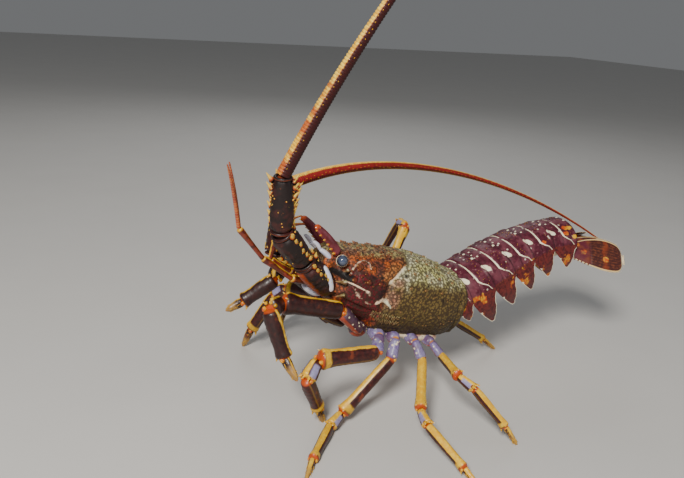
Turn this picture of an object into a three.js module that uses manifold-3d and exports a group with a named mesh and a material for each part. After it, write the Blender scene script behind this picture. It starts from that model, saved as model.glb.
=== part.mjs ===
// A life-size still model of a European spiny lobster, walking, with its tail half stretched.
// Millimetres. The head points to -X, the animal's left side to -Y, and +Z is up.
// The feet stand on the plane z = 0 and the origin lies on it, under the middle of the whole.
import * as THREE from 'three';
import { mergeVertices } from 'three/addons/utils/BufferGeometryUtils.js';
import Module from 'manifold-3d';

const wasm = await Module();
wasm.setup();

// Driving sizes of the animal
const CARAPACE_HALF_WIDTH = 39;
const CARAPACE_RISE = 36;
const CARAPACE_DEPTH = 40;
const CARAPACE_HEIGHT_ABOVE_FLOOR = 106;
const CARAPACE_PITCH = 13;
const PIVOT = 80;
const TAIL_START = 134;
const TAIL_AXIS_HEIGHT = -9.5;
const EYE_RADIUS = 5;
const ANTENNA_ROOT_RADIUS = 6.2;
const ANTENNA_TIP_RADIUS = 1.0;
const SOLE = -40;
const GAP = 0.35;

const LEFT = -1;
const RIGHT = 1;
const SIDES = [['l', LEFT], ['r', RIGHT]];

const rad = THREE.MathUtils.degToRad;
const deg = THREE.MathUtils.radToDeg;
const mix = THREE.MathUtils.lerp;
const V = (x, y, z) => new THREE.Vector3(x, y, z);
const UP = V(0, 0, 1);

// A smooth curve through a few [place, value] pairs
function along(pairs, x) {
  const last = pairs.length - 1;
  if (x <= pairs[0][0]) return pairs[0][1];
  if (x >= pairs[last][0]) return pairs[last][1];
  const i = pairs.findIndex((pair) => pair[0] > x) - 1;
  const slope = (k) => {
    const a = pairs[Math.max(k - 1, 0)];
    const b = pairs[Math.min(k + 1, last)];
    return (b[1] - a[1]) / (b[0] - a[0]);
  };
  const [x0, y0] = pairs[i];
  const [x1, y1] = pairs[i + 1];
  const h = x1 - x0;
  const t = (x - x0) / h;
  const keep = (1 + 2 * t) * (1 - t) * (1 - t) * y0 + t * t * (3 - 2 * t) * y1;
  return keep + h * (t * (1 - t) * (1 - t) * slope(i) - t * t * (1 - t) * slope(i + 1));
}

// Carapace coordinates: u runs back from the brow, v out to the animal's left, w up
const pitch = rad(CARAPACE_PITCH);
function place(u, v, w) {
  const back = u - PIVOT;
  const x = back * Math.cos(pitch) + w * Math.sin(pitch);
  const z = -back * Math.sin(pitch) + w * Math.cos(pitch);
  return V(x, -v, z + CARAPACE_HEIGHT_ABOVE_FLOOR);
}
const turn = (u, v, w) => place(u, v, w).sub(place(0, 0, 0));

// A heading: yaw from straight ahead out to the limb's own side, and lift above level
function heading(yaw, lift, side) {
  const flat = Math.cos(rad(lift));
  return V(-Math.cos(rad(yaw)) * flat, side * Math.sin(rad(yaw)) * flat, Math.sin(rad(lift)));
}

// Closed surface through rings with equal numbers of points
function loft(rings) {
  const count = rings[0].length;
  const points = rings.flat().flatMap((p) => [p.x, p.y, p.z]);
  for (const ring of [rings[0], rings[rings.length - 1]]) {
    const middle = ring.reduce((sum, p) => sum.add(p), V(0, 0, 0)).divideScalar(count);
    points.push(middle.x, middle.y, middle.z);
  }
  const faces = [];
  const first = rings.length * count;
  const end = (rings.length - 1) * count;
  for (let j = 0; j < count; j++) {
    const k = (j + 1) % count;
    for (let i = 0; i < rings.length - 1; i++) {
      const a = i * count;
      const b = a + count;
      faces.push(a + j, b + j, b + k, a + j, b + k, a + k);
    }
    faces.push(first, j, k, first + 1, end + k, end + j);
  }
  const geometry = new THREE.BufferGeometry();
  geometry.setAttribute('position', new THREE.Float32BufferAttribute(points, 3));
  geometry.setIndex(faces);
  return volume(geometry) > 0 ? geometry : flip(geometry);
}

function volume(geometry) {
  const at = geometry.attributes.position;
  const index = geometry.index.array;
  const [a, b, c] = [V(0, 0, 0), V(0, 0, 0), V(0, 0, 0)];
  let sum = 0;
  for (let i = 0; i < index.length; i += 3) {
    a.fromBufferAttribute(at, index[i]);
    b.fromBufferAttribute(at, index[i + 1]);
    c.fromBufferAttribute(at, index[i + 2]);
    sum += a.dot(b.cross(c)) / 6;
  }
  return sum;
}

function flip(geometry) {
  const index = geometry.index.array;
  for (let i = 0; i < index.length; i += 3) {
    [index[i + 1], index[i + 2]] = [index[i + 2], index[i + 1]];
  }
  return geometry;
}

// Solids for joining and cutting
function solid(geometry) {
  const plain = geometry.clone();
  plain.deleteAttribute('normal');
  plain.deleteAttribute('uv');
  const merged = mergeVertices(plain, 1e-4);
  return new wasm.Manifold(new wasm.Mesh({
    numProp: 3,
    vertProperties: new Float32Array(merged.attributes.position.array),
    triVerts: new Uint32Array(merged.index.array),
  }));
}
const asSolid = (piece) => (piece.isBufferGeometry ? solid(piece) : piece);
const join = (pieces) => pieces.map(asSolid).reduce((a, b) => a.add(b));
const largest = (body) => body.decompose().sort((a, b) => b.volume() - a.volume())[0];

function geometryOf(body) {
  const mesh = largest(body).getMesh();
  const geometry = new THREE.BufferGeometry();
  const places = new Float32Array(mesh.vertProperties);
  geometry.setAttribute('position', new THREE.BufferAttribute(places, 3));
  geometry.setIndex(new THREE.BufferAttribute(new Uint32Array(mesh.triVerts), 1));
  return geometry;
}

// Two directions across a heading, the second as near to up as it can be
function across(direction, up = UP) {
  const side = V(0, 0, 0).crossVectors(direction, up);
  if (side.lengthSq() < 1e-6) side.set(0, 1, 0);
  side.normalize();
  return [side, V(0, 0, 0).crossVectors(side, direction).normalize()];
}

function oval(centre, side, up, halfWidth, halfHeight, count) {
  const ring = [];
  for (let i = 0; i < count; i++) {
    const angle = 2 * Math.PI * (i + 0.5) / count;
    ring.push(centre.clone()
      .addScaledVector(side, halfWidth * Math.cos(angle))
      .addScaledVector(up, halfHeight * Math.sin(angle)));
  }
  return ring;
}

// A stretch of limb from a to b: profile gives [share of length, share of radius]
function limb(a, b, radius, profile, { flat = 1, count = 6, grow = 0, up = UP, bow = 0 } = {}) {
  const direction = b.clone().sub(a).normalize();
  const [side, top] = across(direction, up);
  return loft(profile.map(([t, share], i) => {
    const end = i === 0 ? -grow : (i === profile.length - 1 ? grow : 0);
    const centre = a.clone().lerp(b, t).addScaledVector(direction, end)
      .addScaledVector(top, bow * 4 * t * (1 - t));
    const r = radius * share + grow;
    return oval(centre, side, top, r, (radius * share * flat) + grow, count);
  }));
}

// A spine with its root sunk under the surface
function spine(at, direction, length, radius, count = 5) {
  const sunk = radius * 1.1;
  const cone = new THREE.ConeGeometry(radius, length + sunk, count, 1);
  const unit = direction.clone().normalize();
  cone.translate(0, (length + sunk) / 2 - sunk, 0);
  cone.applyQuaternion(new THREE.Quaternion().setFromUnitVectors(V(0, 1, 0), unit));
  cone.translate(at.x, at.y, at.z);
  return cone;
}

// Materials
const finish = (color, roughness) => new THREE.MeshStandardMaterial({ color, roughness, metalness: 0 });
const SHELL = finish(0x6b5a35, 0.55);
const TAIL = finish(0x5c2436, 0.5);
const LEG = finish(0x7a3a1c, 0.5);
const HORN = finish(0xb8501e, 0.5);
const EYE = finish(0x1c2430, 0.15);
const PALE = finish(0xc9b68c, 0.6);

const nodes = new Map();
function keep(name, body, material) {
  nodes.set(name, { body, material });
  return body;
}

// Carapace
const HALF_WIDTH = [
  [-6, 0.5], [0, 0.6], [14, 0.78], [40, 0.92], [80, 1], [120, 1], [136, 0.93], [140, 0.88],
];
const RISE = [
  [-6, 0.58], [0, 0.7], [16, 0.8], [45, 0.86], [75, 0.88], [100, 0.82], [122, 0.68], [140, 0.54],
];
const DEPTH = [[-6, 0.35], [0, 0.45], [16, 0.75], [40, 0.97], [90, 1.02], [125, 0.98], [140, 0.84]];
// The neck groove as [degrees up from the side, place] pairs
const GROOVE_PATH = [[-20, 49], [0, 50], [20, 52], [29, 57], [42, 63.5], [59, 72], [75, 77], [90, 79]];
const GROOVE_WIDTH = 5;
const GROOVE_DEPTH = 2.2;

// The neck groove runs up and back from the cheek and over the top as a shallow trough
function grooveDepth(u, angle) {
  const line = along(GROOVE_PATH, deg(Math.asin(Math.sin(angle))));
  return GROOVE_DEPTH * Math.exp(-(((u - line) / GROOVE_WIDTH) ** 2));
}

function shellPoint(u, angle, grow = 0) {
  const dip = grooveDepth(u, angle);
  const c = Math.cos(angle);
  const s = Math.sin(angle);
  const wide = CARAPACE_HALF_WIDTH * along(HALF_WIDTH, u) - dip + grow;
  const square = s >= 0 ? 0.92 : 0.62;
  const v = wide * Math.sign(c) * Math.abs(c) ** square;
  const tall = s >= 0 ? CARAPACE_RISE * along(RISE, u) - dip : CARAPACE_DEPTH * along(DEPTH, u);
  const w = (tall + grow) * Math.sign(s) * Math.abs(s) ** (s >= 0 ? 0.96 : 0.55);
  return place(u, v, w);
}

function carapaceCore(grow = 0, count = 24) {
  const stations = [-6, 0, 8, 18, 29, 39, 46, 51, 56, 61, 66, 72, 84, 98, 112, 124, 134, 140];
  return loft(stations.map((u, k) => {
    const ends = k === 0 ? -grow : (k === stations.length - 1 ? grow : 0);
    const ring = [];
    for (let i = 0; i < count; i++) {
      ring.push(shellPoint(u + ends, 2 * Math.PI * (i + 0.5) / count, grow));
    }
    return ring;
  }));
}

// A horn over each eye: a long blade with a toothed lower edge
const HORN_ROOT = [5, 14, 24];
const HORN_TIP = [-24, 14, 45.5];
const HORN_SHAPE = [[0, 1.1], [0.35, 1.04], [0.7, 0.88], [0.9, 0.62], [1, 0.3]];
const HORN_TEETH = 4;
function brow(side, grow = 0) {
  const [root, tip] = [HORN_ROOT, HORN_TIP].map(([u, v, w]) => place(u, -side * v, w));
  const pieces = [limb(root, tip, 4, HORN_SHAPE, { flat: 1.12, count: 8, grow })];
  for (let i = 0; i < HORN_TEETH; i++) {
    const at = root.clone().lerp(tip, 0.28 + 0.18 * i).add(turn(0, -side * 1.2, -2.6 + i * 0.2));
    pieces.push(spine(at, turn(-0.9, -side * 0.3, -0.6), 5 - 0.4 * i + grow, 1.6 + grow));
  }
  return pieces;
}

// A short beak between the horns
const beak = (grow = 0) => spine(place(-4, 0, 21), turn(-0.9, 0, 0.35), 7 + grow, 3 + grow);

const front = (grow) => [beak(grow), ...SIDES.flatMap(([, side]) => brow(side, grow))];
const carapaceGrown = join([carapaceCore(GAP), ...front(GAP)]);
keep('carapace', join([carapaceCore(), ...front(0)]), SHELL);

// Breastplate under the carapace, wide behind and narrow in front
function sternumCore(grow = 0) {
  const shape = [[34, 13, 5], [60, 21, 6], [90, 29, 7], [118, 32, 7], [128, 24, 5]];
  return loft(shape.map(([u, half, thick], k) => {
    const ends = k === 0 ? -grow : (k === shape.length - 1 ? grow : 0);
    const centre = place(u + ends, 0, SOLE);
    return oval(centre, turn(0, 1, 0), turn(0, 0, 1), half + grow, thick + grow, 10);
  }));
}
keep('sternum', solid(sternumCore()).subtract(carapaceGrown), PALE);
const sternumGrown = solid(sternumCore(GAP));

// Eyes on short stalks under the brow horns
for (const [letter, side] of SIDES) {
  const eye = place(4, -side * 24, 21);
  const root = place(10, -side * 15, 18);
  const ball = (grow) => {
    const sphere = new THREE.SphereGeometry(EYE_RADIUS + grow, 10, 7);
    sphere.scale(1, 1, 1.05);
    sphere.translate(eye.x, eye.y, eye.z);
    return sphere;
  };
  const stalk = solid(limb(root, eye, 4.4, [[0, 0.9], [0.5, 0.85], [1, 0.95]], { count: 8 }));
  const eyeBody = solid(ball(0)).subtract(carapaceGrown);
  keep(`eye_stalk_${letter}`, stalk.subtract(carapaceGrown).subtract(solid(ball(GAP))), PALE);
  keep(`eye_${letter}`, eyeBody, EYE);
}

// Antennae: three stout spiny joints and a long ringed whip in three lengths
const ANTENNAE = [
  { letter: 'l', side: LEFT, joints: [[37, 18, 45], [41, 22, 49], [48, 66, 78]],
    whip: { length: 405, yaw: [150, 150], lift: [65, 48] } },
  { letter: 'r', side: RIGHT, joints: [[34, 12, 28], [34, 150, 74], [36, 120, 40]],
    whip: { length: 420, yaw: [157, 210], lift: [8.5, -32] } },
];
const JOINT_RADII = [11.5, 10.8, 9];
const JOINT_SHAPES = [
  [[0, 0.82], [0.3, 1], [0.8, 1.02], [1, 0.86]],
  [[0, 0.84], [0.35, 1], [0.8, 1.03], [1, 0.82]],
  [[0, 0.8], [0.3, 1.02], [0.7, 0.88], [1, 0.7]],
];

function whipPoint(start, whip, side, share) {
  const steps = 60;
  const point = start.clone();
  const way = V(0, 0, 0);
  const reach = share * steps;
  for (let i = 0; i < reach; i++) {
    const t = (i + 0.5) / steps;
    way.copy(heading(mix(...whip.yaw, t), mix(...whip.lift, t), side));
    point.addScaledVector(way, Math.min(1, reach - i) * whip.length / steps);
  }
  return point;
}

function whipLength(start, whip, side, from, to, rings) {
  const stations = [];
  const trim = GAP / 2 / whip.length;
  for (let i = 0; i < rings; i++) {
    stations.push([mix(from, to, i / rings) + (i === 0 ? trim : 0), 0.9]);
    stations.push([mix(from, to, (i + 0.6) / rings), 1.06]);
  }
  stations.push([to - trim, 0.9]);
  return loft(stations.map(([share, swell]) => {
    const centre = whipPoint(start, whip, side, share);
    const ahead = whipPoint(start, whip, side, Math.min(share + 0.01, 1));
    const behind = whipPoint(start, whip, side, Math.max(share - 0.01, 0));
    const [out, top] = across(ahead.sub(behind).normalize());
    const taper = (1 - share) ** 1.25;
    const r = swell * mix(ANTENNA_TIP_RADIUS, ANTENNA_ROOT_RADIUS, taper);
    return oval(centre, out, top, r, r, 6);
  }));
}

const antennaGrown = [];
const antennaJoints = [];
for (const { letter, side, joints, whip } of ANTENNAE) {
  let start = place(-2, -side * 17, -4);
  let before = carapaceGrown;
  joints.forEach(([length, yaw, lift], k) => {
    const end = start.clone().addScaledVector(heading(yaw, lift, side), length);
    const root = k === 0 ? start.clone().addScaledVector(heading(yaw, lift, side), -8) : start;
    const section = { count: 10, flat: 0.92 };
    const core = (grow) => limb(root, end, JOINT_RADII[k], JOINT_SHAPES[k], { ...section, grow });
    const body = solid(core(0)).subtract(before).subtract(carapaceGrown);
    const name = `antenna_${letter}_joint_${k + 1}`;
    keep(name, body, HORN);
    antennaJoints.push({ name, start, end, radius: JOINT_RADII[k] });
    before = solid(core(GAP));
    antennaGrown.push(before);
    start = end;
  });
  const cuts = [0, 0.3, 0.64, 1];
  for (let k = 0; k < 3; k++) {
    const piece = solid(whipLength(start, whip, side, cuts[k], cuts[k + 1], 12));
    keep(`antenna_${letter}_whip_${k + 1}`, k === 0 ? piece.subtract(before) : piece, HORN);
  }
}

// Antennules: three slender joints and a forked pair of lashes, between the antennae
const ANTENNULES = [
  { letter: 'l', side: LEFT, joints: [[28, 16, 23], [32, -5, 38], [37, 14, 51]],
    lashes: [[66, 55, 60], [62, 52, 67]] },
  { letter: 'r', side: RIGHT, joints: [[21, 3, 29], [23, -6, 33], [27, 178, 77]],
    lashes: [[38, 160, -4], [34, 150, 8]] },
];
for (const { letter, side, joints, lashes } of ANTENNULES) {
  let start = place(-6, -side * 5.2, -8);
  const pieces = [];
  joints.forEach(([length, yaw, lift], k) => {
    const end = start.clone().addScaledVector(heading(yaw, lift, side), length);
    pieces.push(limb(start, end, 3.3 - 0.4 * k, [[-0.06, 0.9], [0.4, 1], [1.05, 1.05]]));
    start = end;
  });
  for (const [length, yaw, lift] of lashes) {
    const end = start.clone().addScaledVector(heading(yaw, lift, side), length);
    pieces.push(limb(start, end, 2, [[-0.02, 0.9], [0.5, 0.8], [1, 0.35]], { count: 5, bow: 2 }));
  }
  let body = join(pieces).subtract(carapaceGrown);
  for (const other of antennaGrown) body = body.subtract(other);
  keep(`antennule_${letter}`, body, HORN);
}

// Mouth-legs folded under the head
for (const [letter, side] of SIDES) {
  const root = place(34, -side * 7.5, SOLE - 1);
  const elbow = place(6, -side * 8.5, SOLE + 7);
  const tip = place(18, -side * 6.5, SOLE - 2);
  const pieces = [
    limb(root, elbow, 5.2, [[0, 0.8], [0.4, 1], [1, 0.8]], { count: 8 }),
    limb(elbow, tip, 3.6, [[-0.12, 0.8], [0.3, 1], [1, 0.5]], { count: 7 }),
  ];
  keep(`mouth_leg_${letter}`, join(pieces).subtract(carapaceGrown).subtract(sternumGrown), LEG);
}

// Walking legs. Each stretch is [length, yaw, lift]; a standing leg's last two stretches have
// no lift of their own, because they come down to the floor.
const LEGS = [
  { name: 'l1', side: LEFT, root: [42, 15], thick: 1.3, stout: 1.5,
    coxa: [13, 75, 17], ischium: [28, 0, 47], merus: [54, -11, 11],
    carpus: [19, 40, 0], propodus: [42, 130, -68], dactyl: [21, 110, -42] },
  { name: 'l2', side: LEFT, root: [58, 19], thick: 1.1, stout: 1.35,
    coxa: [15, 83, 5], ischium: [18, 54, -27], merus: [56, 0, 3],
    carpus: [19, 27, -44], propodus: [44, 215], dactyl: [19, 200] },
  { name: 'l3', side: LEFT, root: [74, 23], thick: 1, stout: 1,
    coxa: [14, 82, 2], ischium: [18, 41, -60], merus: [64, 5, -41],
    carpus: [18, 30, -14], propodus: [46, 47], dactyl: [23, 52] },
  { name: 'l4', side: LEFT, root: [93, 27], thick: 0.92, stout: 0.9,
    coxa: [11, 90, 0], ischium: [17, 105, -52], merus: [54, 58, -25],
    carpus: [18, 80, -13], propodus: [46, 100], dactyl: [22, 105] },
  { name: 'l5', side: LEFT, root: [111, 29], thick: 0.84, stout: 0.82,
    coxa: [10, 96, -1], ischium: [14, 120, -43], merus: [42, 76, 3],
    carpus: [17, 115, -20], propodus: [43, 140], dactyl: [20, 145] },
  { name: 'r1', side: RIGHT, root: [42, 15], thick: 1.3, stout: 1.5,
    coxa: [13, 75, 17], ischium: [20, 28, 42], merus: [46, 34, 38],
    carpus: [20, -48, -53], propodus: [37, 15, -36], dactyl: [17, 0, -24] },
  { name: 'r2', side: RIGHT, root: [58, 19], thick: 1.1, stout: 1.35,
    coxa: [15, 83, 5], ischium: [17, 59, 13], merus: [52, 59, -3],
    carpus: [18, 54, -41], propodus: [48, 30], dactyl: [23, 44] },
  { name: 'r3', side: RIGHT, root: [74, 23], thick: 1, stout: 1,
    coxa: [14, 82, 2], ischium: [17, 69, 8], merus: [59, 75, 10],
    carpus: [19, 78, -40], propodus: [54, 83], dactyl: [24, 81] },
  { name: 'r4', side: RIGHT, root: [93, 27], thick: 0.92, stout: 0.9,
    coxa: [14, 95, 19], ischium: [20, 145, 49], merus: [66, 160, 62],
    carpus: [18, 100, -10], propodus: [46, 85, -58], dactyl: [22, 85, -72] },
  { name: 'r5', side: RIGHT, root: [111, 29], thick: 0.84, stout: 0.82,
    coxa: [10, 96, -1], ischium: [15, 160, -8], merus: [50, 190, -16],
    carpus: [18, 195, -16], propodus: [46, 188], dactyl: [22, 185] },
];
const PARTS = ['coxa', 'ischium', 'merus', 'carpus', 'propodus', 'dactyl'];
const ROOT_PARTS = ['coxa', 'ischium'];
const LEG_RADII = { coxa: 6.2, ischium: 5.2, merus: 5, carpus: 4.8, propodus: 4.4, dactyl: 3 };
const LEG_SHAPES = {
  coxa: [[-0.2, 0.9], [0.5, 1], [1.05, 0.95]],
  ischium: [[-0.12, 0.85], [0.5, 0.95], [1.08, 1.05]],
  merus: [[-0.05, 0.8], [0.2, 0.98], [0.75, 1], [1, 1.16]],
  carpus: [[0, 0.78], [0.4, 0.95], [1.05, 1.05]],
  propodus: [[-0.04, 0.85], [0.3, 1], [0.8, 0.9], [1.02, 0.92]],
  dactyl: [[-0.06, 0.9], [0.35, 0.85], [0.75, 0.6], [1, 0.34]],
};
const FOOT_SINK = -1;

// How steeply two stretches come down from a height to reach the floor
function comeDown(height, upper, lower) {
  let low = -89;
  let high = 20;
  for (let i = 0; i < 40; i++) {
    const lift = (low + high) / 2;
    const end = height + upper * Math.sin(rad(lift)) + lower * Math.sin(rad(Math.max(lift - 8, -89)));
    if (end > FOOT_SINK) high = lift;
    else low = lift;
  }
  return (low + high) / 2;
}

function legJoints(leg) {
  const joints = [place(leg.root[0], -leg.side * leg.root[1], SOLE - 1)];
  for (const part of PARTS) {
    const start = joints[joints.length - 1];
    const [length, yaw] = leg[part];
    let lift = leg[part][2];
    if (lift === undefined && part === 'propodus') lift = comeDown(start.z, length, leg.dactyl[0]);
    if (lift === undefined) lift = -deg(Math.asin(Math.min(1, (start.z - FOOT_SINK) / length)));
    joints.push(start.clone().addScaledVector(heading(yaw, lift, leg.side), length));
  }
  return joints;
}

const belowFloor = new THREE.BoxGeometry(2000, 2000, 100);
belowFloor.translate(0, 0, -50);
const floorBlock = solid(belowFloor);

const legRadius = (leg, part) => LEG_RADII[part] * (ROOT_PARTS.includes(part) ? leg.thick : leg.stout);

function legStretch(leg, joints, part, grow = 0) {
  const k = PARTS.indexOf(part);
  const flat = ROOT_PARTS.includes(part) ? 0.9 : 1.12;
  return limb(joints[k], joints[k + 1], legRadius(leg, part), LEG_SHAPES[part], { flat, grow });
}

const legJointsByName = new Map();
for (const leg of LEGS) {
  const joints = legJoints(leg);
  const upper = ['coxa', 'ischium', 'merus'].map((part) => legStretch(leg, joints, part));
  const lower = ['carpus', 'propodus', 'dactyl'].map((part) => legStretch(leg, joints, part));
  const knee = solid(legStretch(leg, joints, 'merus', GAP));
  const thigh = join(upper).subtract(carapaceGrown).subtract(sternumGrown);
  keep(`leg_${leg.name}_upper`, thigh, LEG);
  legJointsByName.set(leg.name, joints);
  keep(`leg_${leg.name}_lower`, join(lower).subtract(knee).subtract(floorBlock), LEG);
}

// Tail: six ringed divisions on a bending axis
const SOMITES = [
  { length: 18, half: 30.5, rise: 23.5, lift: 18, yaw: 2, drop: 20 },
  { length: 28, half: 32, rise: 25, lift: 22, yaw: 4, drop: 36 },
  { length: 28, half: 32, rise: 25, lift: 23.5, yaw: 4, drop: 33 },
  { length: 28, half: 31, rise: 24, lift: 22, yaw: 1, drop: 31 },
  { length: 28, half: 29, rise: 22.5, lift: 18, yaw: -3, drop: 28 },
  { length: 27, half: 26.5, rise: 20, lift: 5, yaw: -3, drop: 24 },
];
const FAN = { lift: 1, yaw: 0 };
const TAIL_UNDERSIDE = 13;

function tailHeading(lift, yaw) {
  const flat = Math.cos(rad(lift));
  return V(Math.cos(rad(yaw)) * flat, Math.sin(rad(yaw)) * flat, Math.sin(rad(lift)));
}

// Where each division starts, and which way the tail points there
const tailStops = [];
{
  const point = place(TAIL_START, 0, TAIL_AXIS_HEIGHT);
  const ways = [...SOMITES.map((s) => tailHeading(s.lift, s.yaw)), tailHeading(FAN.lift, FAN.yaw)];
  ways.forEach((way, k) => {
    const before = ways[Math.max(k - 1, 0)];
    tailStops.push({ point: point.clone(), way: before.clone().add(way).normalize() });
    if (k < SOMITES.length) point.addScaledVector(way, SOMITES[k].length);
  });
}

function tailFrame(k, t) {
  const a = tailStops[k];
  const b = tailStops[k + 1];
  const way = a.way.clone().lerp(b.way, t).normalize();
  const [side, top] = across(way);
  return { point: a.point.clone().lerp(b.point, t), way, left: side, top };
}

function somiteCore(k, grow = 0) {
  const { half, rise, length } = SOMITES[k];
  const next = SOMITES[Math.min(k + 1, SOMITES.length - 1)];
  const shape = [[0, 0.93], [0.18, 0.99], [0.32, 1], [0.39, 0.96], [0.47, 1], [0.86, 1], [1, 1.04]];
  const count = 14;
  return loft(shape.map(([t, share], i) => {
    const inset = i === 0 ? GAP / 2 - grow : (i === shape.length - 1 ? grow - GAP / 2 : 0);
    const { point, way, left, top } = tailFrame(k, t);
    point.addScaledVector(way, inset);
    const wide = mix(half, next.half, t) * share + grow;
    const tall = mix(rise, next.rise, t) * share + grow;
    const ring = [];
    for (let j = 0; j < count; j++) {
      const angle = 2 * Math.PI * (j + 0.5) / count;
      const c = Math.cos(angle);
      const s = Math.sin(angle);
      const v = wide * Math.sign(c) * Math.abs(c) ** (s > 0 ? 0.95 : 0.6);
      const w = s > 0 ? tall * s ** 0.95 : -(TAIL_UNDERSIDE + grow) * Math.abs(s) ** 0.6;
      ring.push(point.clone().addScaledVector(left, v).addScaledVector(top, w));
    }
    return ring;
  }));
}

// The side flap of a division: a pointed plate that hangs down and sweeps back
function flap(k, side) {
  const { half, length, drop } = SOMITES[k];
  const { point, way, left, top } = tailFrame(k, 0.45);
  const out = left.clone().multiplyScalar(-side);
  const stations = [[0, 2, 0.72, 0], [0.35, 3, 0.7, 0.5], [0.7, 2.5, 0.46, 3], [1, 1, 0.12, 7]];
  return loft(stations.map(([t, thick, share, sweep]) => {
    const centre = point.clone()
      .addScaledVector(out, half - 3 + 3 * Math.sin(Math.PI * t * 0.6))
      .addScaledVector(top, 4 - t * (drop + 4))
      .addScaledVector(way, sweep * (length / 26));
    return oval(centre, way, out, length * share * 0.5, thick * 0.8, 6);
  }));
}

// Small teeth along the rear edge of a flap
function flapTeeth(k, side) {
  const { half, length, drop } = SOMITES[k];
  const { point, way, left, top } = tailFrame(k, 0.45);
  const out = left.clone().multiplyScalar(-side);
  return [0.42, 0.7].map((t) => spine(
    point.clone().addScaledVector(out, half).addScaledVector(top, 4 - t * drop)
      .addScaledVector(way, length * (0.34 - 0.22 * t)),
    way.clone().addScaledVector(top, -0.7), 4.5, 1.5, 4));
}

// A leaf-shaped swimmeret under a division, on one side
function swimmeret(k, side) {
  const { half } = SOMITES[k];
  const { point, way, left, top } = tailFrame(k, 0.4);
  const root = point.clone().addScaledVector(left, -side * half * 0.5).addScaledVector(top, -11);
  const tip = root.clone().addScaledVector(way, 15).addScaledVector(top, -20);
  return limb(root, tip, 7, [[0, 0.55], [0.55, 1], [1, 0.35]], { flat: 0.2 });
}

SOMITES.forEach((somite, k) => {
  const pieces = [somiteCore(k), ...SIDES.map(([, side]) => flap(k, side))];
  if (k > 0) pieces.push(...SIDES.flatMap(([, side]) => flapTeeth(k, side)));
  if (k > 0 && k < 5) pieces.push(...SIDES.map(([, side]) => swimmeret(k, side)));
  const body = join(pieces);
  keep(`tail_${k + 1}`, k < 2 ? body.subtract(carapaceGrown) : body, TAIL);
});
const tailEnd = solid(somiteCore(SOMITES.length - 1, GAP));

// Tail fan: a middle plate and two blades on each side
const BLADE_SHAPE = [
  [0, 0.42], [0.15, 0.62], [0.35, 0.85], [0.6, 1], [0.8, 0.95], [0.93, 0.72], [1, 0.35],
];
const BLADE_DROOP = 7;
function blade({ side, yaw, drop, root, length, half, thick, tilt }, grow = 0) {
  const stop = tailStops[SOMITES.length];
  const base = tailHeading(FAN.lift, FAN.yaw);
  const [away, top] = across(base);
  const out = away.clone().multiplyScalar(-side);
  const way = base.clone().applyAxisAngle(top, rad(yaw) * side).normalize();
  const lean = top.clone().applyAxisAngle(way, -rad(tilt) * side);
  const cross = V(0, 0, 0).crossVectors(way, lean).normalize();
  const start = stop.point.clone().addScaledVector(out, root).addScaledVector(top, -drop);
  return loft(BLADE_SHAPE.map(([t, share], i) => {
    const end = i === 0 ? -grow : (i === BLADE_SHAPE.length - 1 ? grow : 0);
    const centre = start.clone()
      .addScaledVector(way, t * length + end)
      .addScaledVector(top, -BLADE_DROOP * t * t);
    const wide = half * share + grow;
    const height = mix(thick, thick * 0.35, t) + grow;
    const ring = [];
    const steps = 7;
    for (const face of [1, -1]) {
      for (let j = 0; j < steps; j++) {
        const s = face * (1 - 2 * (j + 0.5) / steps);
        const ridge = j % 2 === 0 ? 1 : 0.72;
        const crown = height * ridge * (0.45 + 0.55 * (1 - s * s));
        const p = centre.clone().addScaledVector(cross, s * wide);
        ring.push(p.addScaledVector(lean, face * crown));
      }
    }
    return ring;
  }));
}
const telson = { side: 1, yaw: 0, drop: 4, root: 0, length: 62, half: 17.5, thick: 4, tilt: 0 };
const telsonBody = solid(blade(telson)).subtract(tailEnd);
keep('tail_fan_middle', telsonBody, TAIL);
for (const [letter, side] of SIDES) {
  const inner = { side, yaw: 14, drop: 6, root: 13, length: 58, half: 16, thick: 3.4, tilt: 28 };
  const outer = { side, yaw: 30, drop: 9, root: 17, length: 56, half: 17, thick: 3.4, tilt: 50 };
  const innerBody = solid(blade(inner)).subtract(tailEnd).subtract(solid(blade(telson, GAP)));
  keep(`tail_fan_inner_${letter}`, innerBody, TAIL);
  const outerBody = solid(blade(outer)).subtract(tailEnd).subtract(solid(blade(inner, GAP)));
  keep(`tail_fan_outer_${letter}`, outerBody.subtract(solid(blade(telson, GAP))), TAIL);
}

// Spines go on last: one that would touch another piece is left out
function dress(name, spines) {
  const node = nodes.get(name);
  const others = [...nodes].filter(([other]) => other !== name).map(([, { body }]) => body);
  for (const { at, direction, length, radius, count = 5 } of spines) {
    const room = solid(spine(at, direction, length + GAP, radius + GAP, count));
    if (others.some((other) => !room.intersect(other).isEmpty())) continue;
    node.body = node.body.add(solid(spine(at, direction, length, radius, count)));
  }
}

// Rows along the carapace: height round the side in degrees, then [place, length] pairs
const SPINE_ROWS = [
  { around: 90, row: [[22, 3.2], [36, 3.4], [50, 3.2], [88, 2.8], [104, 2.6], [120, 2.4]] },
  { around: 64, row: [[24, 4], [37, 3.8], [52, 3.4], [84, 3.2], [96, 3], [108, 2.8], [124, 2.6]] },
  { around: 38, row: [[21, 5.5], [34, 4.6], [48, 4], [76, 3.4], [90, 3.2], [104, 3], [120, 2.6]] },
  { around: 14, row: [[18, 4.5], [30, 4], [41, 3.6], [72, 3.2], [88, 3], [106, 2.6]] },
];
const SPINE_WIDTH = 0.36;
for (const { around, row } of SPINE_ROWS) {
  const angles = around === 90 ? [90] : [around, 180 - around];
  for (const angle of angles.map(rad)) {
    dress('carapace', row.map(([u, length]) => ({
      at: shellPoint(u, angle),
      direction: turn(-1, 0.75 * Math.cos(angle), 0.75 * Math.sin(angle)),
      length,
      radius: 0.6 + SPINE_WIDTH * length,
    })));
  }
}

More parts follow.
